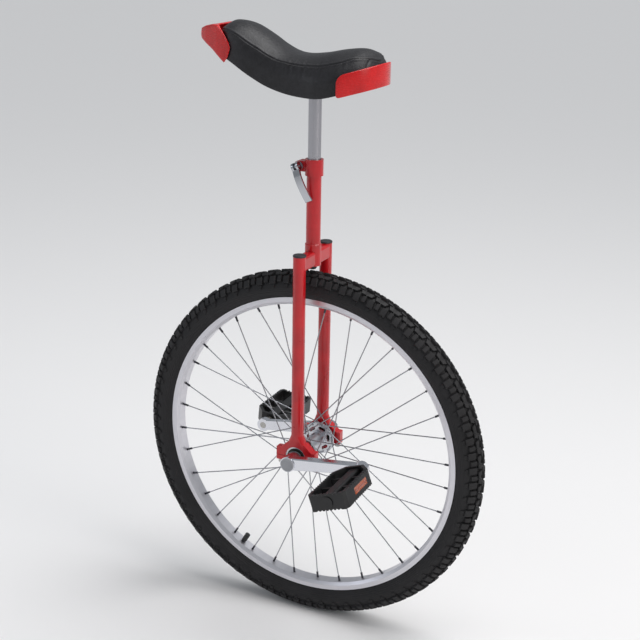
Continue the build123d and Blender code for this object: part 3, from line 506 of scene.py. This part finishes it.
def casing_piece(settings, material):
    """The casing: a closed outline, outside and inside wall, carried round the wheel.
    On the sidewalls the outside stands out by rib height times a row of narrow cosine ridges."""
    outline, normal, along = casing_outline()
    away = np.abs(along)
    ribbed = (away > RIB_ZONE[0]) & (away < RIB_ZONE[1])
    ridge = np.maximum(np.cos(2 * np.pi * away / RIB_PITCH), 0) ** 3
    outer = outline + normal * (ribbed * ridge * settings.rib_height)[:, None]
    inner = (outline - normal * CASING_WALL)[::-INNER_STEP]
    loop = np.vstack([outer, inner])
    angle = np.linspace(0, 2 * np.pi, CASING_PLACES, endpoint=False)[:, None]
    grid = about_wheel(angle, loop[:, 0], loop[:, 1])
    faces = grid_faces(*grid.shape[:2], True, True)
    return make_piece("tyre_casing", grid.reshape(-1, 3), faces, "wheel", material)


# Tread blocks of one pitch on the left half, in millimetres: place along the pitch, distance from the crown
# line, half length inside and outside, half width, share of the knob height, and slant
TREAD_BLOCKS = [
    (0.00, 22.6, 5.6, 6.6, 6.4, 1.00, 0.08),
    (0.50, 20.4, 3.6, 4.6, 5.2, 0.92, 0.00),
    (0.00, 32.6, 4.6, 2.4, 3.2, 0.42, 0.00),
    (0.27, 10.6, 4.2, 4.8, 3.3, 0.95, 0.55),
    (0.77, 10.6, 4.8, 4.2, 3.3, 0.95, -0.55),
    (0.02, 3.4, 5.6, 4.8, 2.4, 1.00, 0.30),
]
# A block's grid lines as shares of its half size, and its height on each ring from the border inwards
BLOCK_LINES = [-1.12, -1.0, -0.84, 0, 0.84, 1.0, 1.12]
BLOCK_RISE = [-0.25, 0.74, 1.0, 0.93]
TREAD_SIDES = [(1, 0.0), (-1, 0.5)]     # left and right half, half a pitch out of step


def tread_piece(settings, material):
    """Tread blocks: each is a square grid whose border lies in the casing, the next ring is the block's
    lower edge and the rest its top. Its length runs round the wheel and its width along the outline."""
    outline, normal, along = casing_outline()
    radius = outline[:, 1].max() + settings.knob_height
    pitch = 2 * np.pi / settings.pitches
    starts = np.arange(settings.pitches)[:, None, None] * pitch
    a, b = np.meshgrid(BLOCK_LINES, BLOCK_LINES, indexing="ij")
    size = len(BLOCK_LINES)
    number = np.arange(size * size).reshape(size, size)
    from_border = np.minimum(np.arange(size), np.arange(size)[::-1])
    rise = np.choose(np.minimum.outer(from_border, from_border), BLOCK_RISE)
    quads = grid_faces(size, size)
    border = np.concatenate([number[0, :-1], number[:-1, -1], number[-1, :0:-1], number[:0:-1, 0]])[None]
    points, faces, floors = [], [], []
    for where, offset, inside, outside, half_width, share, slant in TREAD_BLOCKS:
        for side, shift in TREAD_SIDES:
            first = len(points) * settings.pitches * size * size
            half_length = inside + (outside - inside) * (b + 1) / 2
            round_way = (a * half_length + slant * b * half_width) * MM
            out_way = side * (offset + b * half_width) * MM
            height = rise * share * settings.knob_height
            foot = at_lengths(out_way.ravel(), along, outline).reshape(size, size, 2)
            up = at_lengths(out_way.ravel(), along, normal).reshape(size, size, 2)
            section = foot + height[..., None] * up
            angle = starts + (where + shift) * pitch + round_way / radius
            points.append(about_wheel(angle, section[..., 0], section[..., 1]).reshape(-1, 3))
            turned, edge = (quads, border[:, ::-1]) if side > 0 else (quads[:, ::-1], border)
            faces.append(repeated_faces(turned, size * size, settings.pitches) + first)
            floors += (repeated_faces(edge, size * size, settings.pitches) + first).tolist()
    points, faces = np.vstack(points), np.vstack(faces)
    if (outward(points, faces) != faces).any():
        floors = [floor[::-1] for floor in floors]
    return make_piece("tyre_tread_blocks", points, faces, "wheel", material,
                      TREAD_SHARP, floors)


class UNICYCLE_OT_tyre(bpy.types.Operator):
    """Builds the knobbly tyre: casing with ribbed sidewalls, and its tread blocks"""
    bl_idname = "unicycle.tyre"
    bl_label = "Tyre"

    def execute(self, context):
        settings = context.scene.unicycle_tyre
        rubber = tyre_rubber()
        casing = casing_piece(settings, rubber)
        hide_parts("tyre")
        tread_piece(settings, rubber)
        return {"FINISHED"}


# ---------------------------------------------------------------- saddle
# Outlines in millimetres: half plan (x, y), and heights (x, z) of the crest and of the lower edge
SADDLE_PLAN = [(-123, 0), (-116, 32), (-100, 55), (-70, 70), (-35, 70), (0, 62), (40, 56), (80, 53),
               (120, 51), (150, 43), (167, 26), (174, 0)]
SADDLE_CREST = [(-123, 1019), (-119, 1031), (-112, 1041), (-101, 1048), (-84, 1051.5), (-53, 1048),
                (-19, 1041), (16, 1037.5), (41, 1041), (66, 1053), (88, 1067), (117, 1081),
                (146, 1085.5), (166, 1080), (174, 1066)]
SADDLE_EDGE = [(-123, 997), (-100, 990), (-73, 984), (-40, 976), (-6, 974.5), (29, 977.5), (64, 986),
               (96, 1000), (133, 1020), (170, 1036), (176, 1040)]
# How far the seam lies below the crest, and how far out it is as a share of the half width
SEAM_DROP = [(-123, 2), (-110, 5), (-92, 10), (-68, 17), (-38, 19), (-4, 15), (31, 12), (66, 17), (101, 21),
             (133, 16), (160, 12), (174, 6)]
SEAM_REACH = [(-123, 0.78), (-100, 0.78), (-70, 0.78), (-30, 0.8), (10, 0.87), (60, 0.92), (130, 0.94),
              (174, 0.9)]
PLAN_MIDDLE = (20.0, 0.0)
SPINE = (-88.0, 138.0)          # x of both ends of the middle line that the crown falls away from
SADDLE_POINTS = 460             # round the outline
CROWN_ROWS, WALL_ROWS = 30, 34
SEAM_ROW = CROWN_ROWS - 1
CROWN_POWER, WALL_POWER = 2.4, 1.4
SWELL_SHARE = 0.55              # of the wall's height, over which it swells to its full width
COVER_SKIN = 1.6
HEM_DROP = 0.5
PAN_TOP = 14.3                  # the padding's underside above the lower edge, resting on the pan
SADDLE_SHARP = 50.0

# Across the seam, from its line: the groove's depth and width, and the lip's height, place and width
GROOVE_DEPTH, GROOVE_WIDTH = 1.1, 1.3
LIP_HEIGHT, LIP_PLACE, LIP_WIDTH = 0.5, 3.2, 1.6
# Gathers: strength, wave length over two pi and phase of each wave, and strength, x and spread of each zone
GATHER_WAVES = [(1.0, 2.1, 0.8), (0.7, 1.37, 2.0), (0.6, 3.7, 0.0)]
GATHER_ZONES = [(1.0, -10, 62), (0.5, -96, 26)]
GATHER_START, GATHER_FADE = 2.0, 9.0
GATHER_ON_CROWN = 0.55
# The upright join of the rear panel: depth, x and width, and how far from the middle line it starts
PANEL_DEPTH, PANEL_X, PANEL_WIDTH, PANEL_START = 0.8, -108.0, 1.0, 12.0

STITCH_PITCH = 4.6
STITCH_HALF, STITCH_RADIUS, STITCH_FLATNESS = 1.7, 0.42, 0.8
STITCH_RINGS, STITCH_SIDES = 5, 8
STITCH_ROW = SEAM_ROW + 3
STITCH_MARGIN, STITCH_LOOK_AHEAD = 2.0, 0.5


def saddle_outline(count):
    """The saddle's closed plan outline and its outward normals."""
    half = np.array(SADDLE_PLAN, float)
    outline = smooth_curve(np.vstack([half, half[-2:0:-1] * (1, -1)]), count, closed=True)
    step = np.roll(outline, -1, 0) - np.roll(outline, 1, 0)
    normal = np.stack([-step[:, 1], step[:, 0]], -1) / np.linalg.norm(step, axis=1, keepdims=True)
    return outline, normal * np.sign(np.sum(normal * (outline - PLAN_MIDDLE)))


def saddle_grid():
    """Grid of the padding in millimetres. Each outline point has a partner on the spine line.
    The crown runs from the spine to the seam and sinks below the crest by the seam's drop times the
    share to the crown power. The wall swells out from the seam by a quarter sine and goes down to the
    lower edge, and the hem turns up inside it and closes over the pan."""
    outline, _ = saddle_outline(SADDLE_POINTS)
    crest, edge, drop, reach = map(curve_height, (SADDLE_CREST, SADDLE_EDGE, SEAM_DROP, SEAM_REACH))
    share = (outline[:, 0] - outline[:, 0].min()) / np.ptp(outline[:, 0])
    spine = np.stack([SPINE[0] + share * (SPINE[1] - SPINE[0]), 0 * share], -1)
    away = outline - spine
    seam_share = reach(outline[:, 0])[:, None]
    low = edge(outline[:, 0])[:, None]

    def at(factor):
        return spine[:, None] + away[:, None] * factor[..., None]

    rho = np.sin(np.linspace(0, np.pi / 2, CROWN_ROWS))[None, :]
    plan = at(seam_share * rho)
    crown = np.dstack([plan, crest(plan[..., 0]) - drop(plan[..., 0]) * rho**CROWN_POWER])
    seam_z = crown[:, -1, 2:]
    down = (np.linspace(0, 1, WALL_ROWS)[1:] ** WALL_POWER)[None, :]
    swell = seam_share + (1 - seam_share) * np.sin(np.pi / 2 * np.minimum(down / SWELL_SHARE, 1))
    wall = np.dstack([at(swell), seam_z + (low - seam_z) * down])
    inner = 1 - COVER_SKIN / np.linalg.norm(away, axis=1)[:, None]
    turn = np.array([[0.25, 0.75]])
    hem = np.dstack([at(1 - (1 - inner) * turn), low - HEM_DROP + 0 * turn])
    lift = np.array([[0.4, PAN_TOP / 2, PAN_TOP]])
    inside = np.dstack([at(inner + 0 * lift), low + lift])
    plan = at(inner * np.array([[0.75, 0.5, 0.25, 0.0]]))
    underside = np.dstack([plan, edge(plan[..., 0]) + PAN_TOP])
    return np.concatenate([crown, wall, hem, inside, underside], axis=1)


def saddle_piece(settings, material):
    """The upholstered pad. Beside the seam its surface is pressed in along a narrow groove, and gathers
    run down from it: a sum of three sine waves along the seam, deepest in the dip, fading away from it."""
    grid = saddle_grid()
    normal = grid_normals(grid)
    if np.sum(normal[:, :SEAM_ROW, 2]) < 0:
        normal = -normal
    row = np.arange(grid.shape[1])[None, :]
    apart = np.linalg.norm(grid - grid[:, SEAM_ROW:SEAM_ROW + 1], axis=2)
    x = grid[..., 0]
    groove = (LIP_HEIGHT * np.exp(-((apart - LIP_PLACE) / LIP_WIDTH) ** 2)
              - GROOVE_DEPTH * np.exp(-(apart / GROOVE_WIDTH) ** 2))
    zones = sum(share * np.exp(-((x - middle) / spread) ** 2) for share, middle, spread in GATHER_ZONES)
    waves = sum(share * np.sin(x / length + phase) for share, length, phase in GATHER_WAVES)
    fade = np.exp(-apart / GATHER_FADE) * (1 - np.exp(-(apart / GATHER_START) ** 2))
    gathers = settings.wrinkle / MM * zones * waves * fade * np.where(row > SEAM_ROW, 1.0, GATHER_ON_CROWN)
    panel = -PANEL_DEPTH * np.exp(-((x - PANEL_X) / PANEL_WIDTH) ** 2)
    panel = panel * (row > SEAM_ROW) * (np.abs(grid[..., 1]) > PANEL_START)
    covered = row < SEAM_ROW + WALL_ROWS - 1
    grid = grid + normal * ((groove + gathers + panel) * covered)[..., None]
    faces = grid_faces(*grid.shape[:2], True, False)
    pad = make_piece("saddle_padding", grid.reshape(-1, 3) * MM, faces, "seat", material,
                     SADDLE_SHARP)
    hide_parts("saddle_cover", "saddle_foam")


def stitch_piece(material):
    """Thread along the seam: one flattened capsule a stitch, whose radius is the root of 1 - u to the
    power 4, with u from -1 to 1 along it."""
    grid = saddle_grid()
    line, line_normal = grid[:, STITCH_ROW], grid_normals(grid)[:, STITCH_ROW]
    along = arc_length(line)
    spots = np.arange(STITCH_MARGIN, along[-1] - STITCH_MARGIN, STITCH_PITCH)
    middle = at_lengths(spots, along, line)
    tangent = at_lengths(spots + STITCH_LOOK_AHEAD, along, line) - middle
    tangent /= np.linalg.norm(tangent, axis=1, keepdims=True)
    normal = at_lengths(spots, along, line_normal)
    side = np.cross(tangent, normal)
    middle, tangent, normal, side = (v[:, None, None] for v in (middle, tangent, normal, side))
    u = np.linspace(-1, 1, STITCH_RINGS)[None, :, None, None]
    v = np.linspace(0, 2 * np.pi, STITCH_SIDES, endpoint=False)[None, None, :, None]
    radius = STITCH_RADIUS * np.sqrt(np.maximum(1 - u**4, 0))
    ring = np.cos(v) * side + STITCH_FLATNESS * np.sin(v) * normal
    capsule = middle + STITCH_HALF * u * tangent + radius * ring
    faces = repeated_faces(grid_faces(STITCH_RINGS, STITCH_SIDES, False, True), STITCH_RINGS * STITCH_SIDES,
                           len(spots))
    make_piece("saddle_seam_thread", capsule.reshape(-1, 3) * MM, faces, "seat", material)


# Rear bumper in millimetres: its faces outside the saddle's outline, the x where it ends, and the heights
# of its upper and lower edge at two x
BUMPER_INNER, BUMPER_OUTER = 0.35, 4.1
BUMPER_FRONT_X = -69.0
BUMPER_X = (-140.0, -69.0)
BUMPER_TOP = (1037.0, 1014.0)
BUMPER_BOTTOM = (999.5, 978.5)
TOP_CORNER, BOTTOM_CORNER = 12.0, 6.0
THINNING = 1.9                  # length over which each end thins to an edge
EDGE_RADIUS = 1.5
EDGE_SHARE = 0.98               # of the half thickness that the edge's radius may take
OUTLINE_POINTS = 900
CORNER_STEPS = 5
TIP_STEPS = ((0.0, 2.0, 8), (2.0, 14.0, 13))    # from and to this distance from an end, in so many steps
MIDDLE_STEPS = 90

VOXEL = 1.2 * MM
RELAX_FACTOR, RELAX_ROUNDS = 0.5, 22
LOOSE_POINT = 1e-5              # metres


def rounded_section():
    """Signs and unit circle offsets that make a rounded rectangle: each corner is a quarter circle."""
    quarter = np.linspace(0, np.pi / 2, CORNER_STEPS)
    angle = np.concatenate([quarter + k * np.pi / 2 for k in range(4)])
    signs = np.repeat([(1, 1), (-1, 1), (-1, -1), (1, -1)], CORNER_STEPS, axis=0)
    return signs, np.stack([np.cos(angle), np.sin(angle)], -1)


def corner_fall(distance, radius):
    """How far a rounded corner has fallen at a distance from the end: r minus the circle's height."""
    inside = np.clip(radius - distance, 0, radius)
    return radius - np.sqrt(radius**2 - inside**2)


def rear_bumper_piece(material):
    """The rear bumper: a rounded rectangle carried round the back of the saddle's outline. Near its two
    ends the top and bottom corners fall away by circles, and it thins to an edge."""
    outline, normal = saddle_outline(OUTLINE_POINTS)
    behind = np.roll(np.arange(OUTLINE_POINTS), OUTLINE_POINTS // 2)
    behind = behind[outline[behind, 0] < BUMPER_FRONT_X]
    along = arc_length(outline[behind])
    length = along[-1]
    tip = np.concatenate([np.linspace(*steps, endpoint=False) for steps in TIP_STEPS])
    tip_end = TIP_STEPS[-1][1]
    even = np.concatenate([tip, np.linspace(tip_end, length - tip_end, MIDDLE_STEPS), length - tip[::-1]])
    path, out = at_lengths(even, along, outline[behind]), at_lengths(even, along, normal[behind])
    from_end = np.minimum(even, length - even)
    top = np.interp(path[:, 0], BUMPER_X, BUMPER_TOP) - corner_fall(from_end, TOP_CORNER)
    bottom = np.interp(path[:, 0], BUMPER_X, BUMPER_BOTTOM) + corner_fall(from_end, BOTTOM_CORNER)
    thin = np.sqrt(np.clip(1 - (1 - from_end / THINNING) ** 2 * (from_end < THINNING), 0, 1))
    half = (BUMPER_OUTER - BUMPER_INNER) / 2 * thin[:, None]
    radius = np.minimum(EDGE_RADIUS, half * EDGE_SHARE)
    signs, circle = rounded_section()
    reach = (BUMPER_OUTER + BUMPER_INNER) / 2 + signs[:, 0] * (half - radius) + circle[:, 0] * radius
    tall = (top - bottom)[:, None] / 2
    z = (top + bottom)[:, None] / 2 + signs[:, 1] * (tall - radius) + circle[:, 1] * radius
    grid = np.dstack([path[:, None] + out[:, None] * reach[..., None], z])
    faces = grid_faces(*grid.shape[:2], False, True)
    bumper = make_piece("saddle_bumper_rear", grid.reshape(-1, 3) * MM, faces, "seat",
                        material, SADDLE_SHARP)
    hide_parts("saddle_rear_bumper")


def front_bumper_piece(material):
    """The nose guard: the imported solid's own shape, closed over with small cells and relaxed, which
    gives its edges the soft radius of a moulding."""
    mesh = frame["nodes"]["saddle_front_bumper"].data.copy()
    work = bmesh.new()
    work.from_mesh(mesh)
    bmesh.ops.remove_doubles(work, verts=work.verts, dist=LOOSE_POINT)
    work.to_mesh(mesh)
    work.free()
    shaper = new_object("front_bumper_shaper", mesh)
    cells = shaper.modifiers.new("cells", "REMESH")
    cells.mode = "VOXEL"
    cells.voxel_size = VOXEL
    relax = shaper.modifiers.new("relax", "SMOOTH")
    relax.factor = RELAX_FACTOR
    relax.iterations = RELAX_ROUNDS
    bpy.context.view_layer.update()
    finished = bpy.data.meshes.new_from_object(shaper.evaluated_get(bpy.context.evaluated_depsgraph_get()))
    bpy.data.objects.remove(shaper)
    bumper = place_piece("saddle_bumper_front", finished, "seat", material)
    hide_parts("saddle_front_bumper")


class UNICYCLE_OT_saddle(bpy.types.Operator):
    """Builds the upholstered saddle with its seam, thread and two red bumpers"""
    bl_idname = "unicycle.saddle"
    bl_label = "Saddle"

    def execute(self, context):
        settings = context.scene.unicycle_saddle
        vinyl = saddle_vinyl(settings.cover_dark, settings.cover_light)
        saddle_piece(settings, vinyl)
        thread = moulded_plastic("bonded_nylon_thread", "#121214", "#1E1E20", 0.55, 0.6, 0.05)
        stitch_piece(thread)
        red = bumper_plastic(settings.bumper_red)
        rear_bumper_piece(red)
        front_bumper_piece(red)
        dress(moulded_plastic("pan_polypropylene", "#151516", "#232325", 0.55, 1.1, 0.06), "saddle_pan")
        dress(zinc_steel(), "saddle_studs", "saddle_nuts", "bumper_screws")
        dress(satin_steel_post(), "seat_post")
        return {"FINISHED"}


# ---------------------------------------------------------------- frame, wheel and drive finishes
class UNICYCLE_OT_frame(bpy.types.Operator):
    """Paints the frame and finishes its caps, bearings and seat clamp"""
    bl_idname = "unicycle.frame"
    bl_label = "Frame"

    def execute(self, context):
        dress(red_enamel(context.scene.unicycle_frame.paint), "seat_tube", "crown_sleeve",
              "crown_bridge_left", "crown_bridge_right", "leg_left", "leg_right", "bearing_holder_left",
              "bearing_holder_right", "bearing_lower_cap_left", "bearing_lower_cap_right", "seat_collar")
        # Painted shade: the black seat tube plug is a dark piece put in the shade between the crown and the
        # tyre. It is in the same black as the leg end caps.
        dress(moulded_plastic("black_caps_and_shade_plug", "#1B1B1E", "#38383D", 0.45, 1.4, 0.05),
              "seat_tube_plug", "leg_end_caps")
        dress(zinc_steel(), "bearing_cap_bolts", "bearing_cap_washers")
        dress(ground_steel(), "bearing_outer_rings", "bearing_inner_rings", "bearing_balls")
        dress(seal_rubber(), "bearing_seals")
        dress(chrome_plate(), "quick_release_lever", "clamp_adjusting_nut", "clamp_skewer",
              "clamp_cam_washer")
        return {"FINISHED"}


class UNICYCLE_OT_wheel(bpy.types.Operator):
    """Finishes the rim, spokes, hub, valve and inner tube"""
    bl_idname = "unicycle.wheel"
    bl_label = "Wheel"

    def execute(self, context):
        dress(anodised_rim(), "rim")
        dress(drawn_wire(), "spokes_left_leading", "spokes_left_trailing", "spokes_right_leading",
              "spokes_right_trailing")
        dress(plated_brass(), "spoke_nipples", "valve_stem")
        dress(turned_aluminium(), "hub_shell")
        dress(seal_rubber(), "inner_tube", "rim_tape")
        dress(moulded_plastic("valve_cap_nylon", "#101012", "#1C1C1E", 0.4, 0.8, 0.05), "valve_cap")
        dress(zinc_steel(), "axle", "axle_spacers")
        return {"FINISHED"}


class UNICYCLE_OT_drive(bpy.types.Operator):
    """Finishes the cranks and pedals"""
    bl_idname = "unicycle.drive"
    bl_label = "Cranks and pedals"

    def execute(self, context):
        dress(polished_aluminium(), "crank_left", "crank_right")
        dress(moulded_plastic("dust_cap_nylon", "#96979C", "#A6A7AC", 0.4, 0.9, 0.04), "crank_dust_caps")
        dress(zinc_steel(), "crank_bolts", "pedal_spindle_left", "pedal_spindle_right",
              "pedal_bushes_left", "pedal_bushes_right")
        dress(moulded_plastic("pedal_polypropylene", "#0D0D0E", "#1C1C1E", 0.4, 0.8, 0.07),
              "pedal_body_left", "pedal_body_right", "pedal_end_cap_left", "pedal_end_cap_right")
        dress(prismatic_amber(), "pedal_reflectors_left", "pedal_reflectors_right")
        return {"FINISHED"}


# ---------------------------------------------------------------- studio
FLOOR_REACH, FLOOR_POINTS = 90.0, 9
DAPPLES_PER_METRE = 14.0
# Soft boxes: name, place, aim, size in metres, watts and colour
SOFT_BOXES = [
    ("overhead_box", (-0.5, -0.3, 3.2), (0, 0, 0.5), 2.0, 34, "#FFFFFF"),
    ("right_box", (-2.8, 0.6, 1.9), (0, 0, 0.6), 1.3, 26, "#FFF8F2"),
    ("left_box", (2.6, 1.6, 1.8), (0, 0, 0.6), 1.2, 9, "#F2F6FF"),
]
SUN_STRENGTH = 1.35
SUN_SPREAD = math.radians(50)
SUN_TURN = (math.radians(14), math.radians(-24), 0)
AIR_COLOUR, AIR_STRENGTH = "#E8EDF2", 0.4
SENSOR_WIDTH = 36.0


def floor_piece(colour):
    """A wide pale floor: a flat grid whose far edges are beyond any view of the object."""
    finish, tree, shader, place = new_finish("studio_floor", **{"Base Color": linear(colour)})
    dapple = noise(tree, place, 1000 / DAPPLES_PER_METRE, 8.0)
    vary_roughness(tree, shader, dapple, 0.66, 0.84)
    side = np.linspace(-FLOOR_REACH, FLOOR_REACH, FLOOR_POINTS)
    x, y = np.meshgrid(side, side, indexing="ij")
    points = np.stack([x, y, 0 * x], -1).reshape(-1, 3)
    mesh = bpy.data.meshes.new("studio_floor")
    mesh.from_pydata(points.tolist(), [], grid_faces(FLOOR_POINTS, FLOOR_POINTS).tolist())
    mesh.materials.append(finish)
    floor = new_object("studio_floor", mesh)


def soft_light(name, place, aim, size, watts, colour):
    """A square soft box at a place, facing a point."""
    lamp = bpy.data.lights.new(name, "AREA")
    lamp.shape = "SQUARE"
    lamp.size = size
    lamp.energy = watts
    lamp.color = linear(colour)[:3]
    light = new_object(name, lamp)
    light.location = place
    light.rotation_euler = (Vector(aim) - Vector(place)).to_track_quat("-Z", "Y").to_euler()


def high_sun():
    """A broad sun, which lights the whole floor evenly."""
    lamp = bpy.data.lights.new("high_sun", "SUN")
    lamp.energy = SUN_STRENGTH
    lamp.angle = SUN_SPREAD
    new_object("high_sun", lamp).rotation_euler = SUN_TURN


def studio_air():
    """The pale surroundings that the polished metal mirrors."""
    world = bpy.data.worlds.new("studio_air")
    bpy.context.scene.world = world
    world.use_nodes = True
    air = world.node_tree.nodes["Background"]
    air.inputs["Color"].default_value = linear(AIR_COLOUR)
    air.inputs["Strength"].default_value = AIR_STRENGTH


def studio_camera(settings):
    """The camera: it looks along (sin h cos t, -cos h cos t, -sin t), leaning by its roll."""
    ahead = Vector((math.sin(settings.heading) * math.cos(settings.tilt),
                    -math.cos(settings.heading) * math.cos(settings.tilt), -math.sin(settings.tilt)))
    level = ahead.cross(Vector((0, 0, 1))).normalized()
    above = level.cross(ahead)
    right = math.cos(settings.roll) * level + math.sin(settings.roll) * above
    up = math.cos(settings.roll) * above - math.sin(settings.roll) * level
    lens = bpy.data.cameras.new("studio_camera")
    lens.sensor_width = SENSOR_WIDTH
    lens.lens = settings.focal_length
    camera = new_object("studio_camera", lens)
    turn = Matrix((right, up, -ahead)).transposed().to_4x4()
    camera.matrix_world = Matrix.Translation(Vector(settings.stand)) @ turn
    bpy.context.scene.camera = camera


class UNICYCLE_OT_stage(bpy.types.Operator):
    """Sets the pale floor, the soft studio light and the camera"""
    bl_idname = "unicycle.stage"
    bl_label = "Stage"

    def execute(self, context):
        settings = context.scene.unicycle_stage
        floor_piece(settings.floor_colour)
        high_sun()
        for box in SOFT_BOXES:
            soft_light(*box)
        studio_air()
        context.scene.view_settings.view_transform = "Standard"
        studio_camera(settings)
        return {"FINISHED"}


class UNICYCLE_PT_panel(bpy.types.Panel):
    """Lists the unicycle's pieces and settings"""
    bl_label = "Unicycle"
    bl_idname = "UNICYCLE_PT_panel"
    bl_space_type = "VIEW_3D"
    bl_region_type = "UI"
    bl_category = "Unicycle"

    def draw(self, context):
        for operator, group in STEPS:
            self.layout.operator(operator.bl_idname)
            if group:
                settings = getattr(context.scene, group)
                for name in type(settings).__annotations__:
                    self.layout.prop(settings, name)


GROUPS = {
    "unicycle_tyre": TyreSettings,
    "unicycle_saddle": SaddleSettings,
    "unicycle_frame": FrameSettings,
    "unicycle_stage": StageSettings,
}
STEPS = [
    (UNICYCLE_OT_tyre, "unicycle_tyre"),
    (UNICYCLE_OT_saddle, "unicycle_saddle"),
    (UNICYCLE_OT_frame, "unicycle_frame"),
    (UNICYCLE_OT_wheel, None),
    (UNICYCLE_OT_drive, None),
    (UNICYCLE_OT_stage, "unicycle_stage"),
]


def register():
    """Makes the settings, operators and panel known to Blender."""
    for group in GROUPS.values():
        bpy.utils.register_class(group)
    for name, group in GROUPS.items():
        setattr(bpy.types.Scene, name, bpy.props.PointerProperty(type=group))
    for operator, _ in STEPS:
        bpy.utils.register_class(operator)
    bpy.utils.register_class(UNICYCLE_PT_panel)


def unregister():
    """Takes them away again: the panel, the operators, then the settings."""
    bpy.utils.unregister_class(UNICYCLE_PT_panel)
    for operator, _ in STEPS:
        bpy.utils.unregister_class(operator)
    for name, group in GROUPS.items():
        delattr(bpy.types.Scene, name)
        bpy.utils.unregister_class(group)


def main():
    """Builds everything in order."""
    register()
    for operator, _ in STEPS:
        module, name = operator.bl_idname.split(".")
        getattr(getattr(bpy.ops, module), name)()


if __name__ == "__main__":
    main()
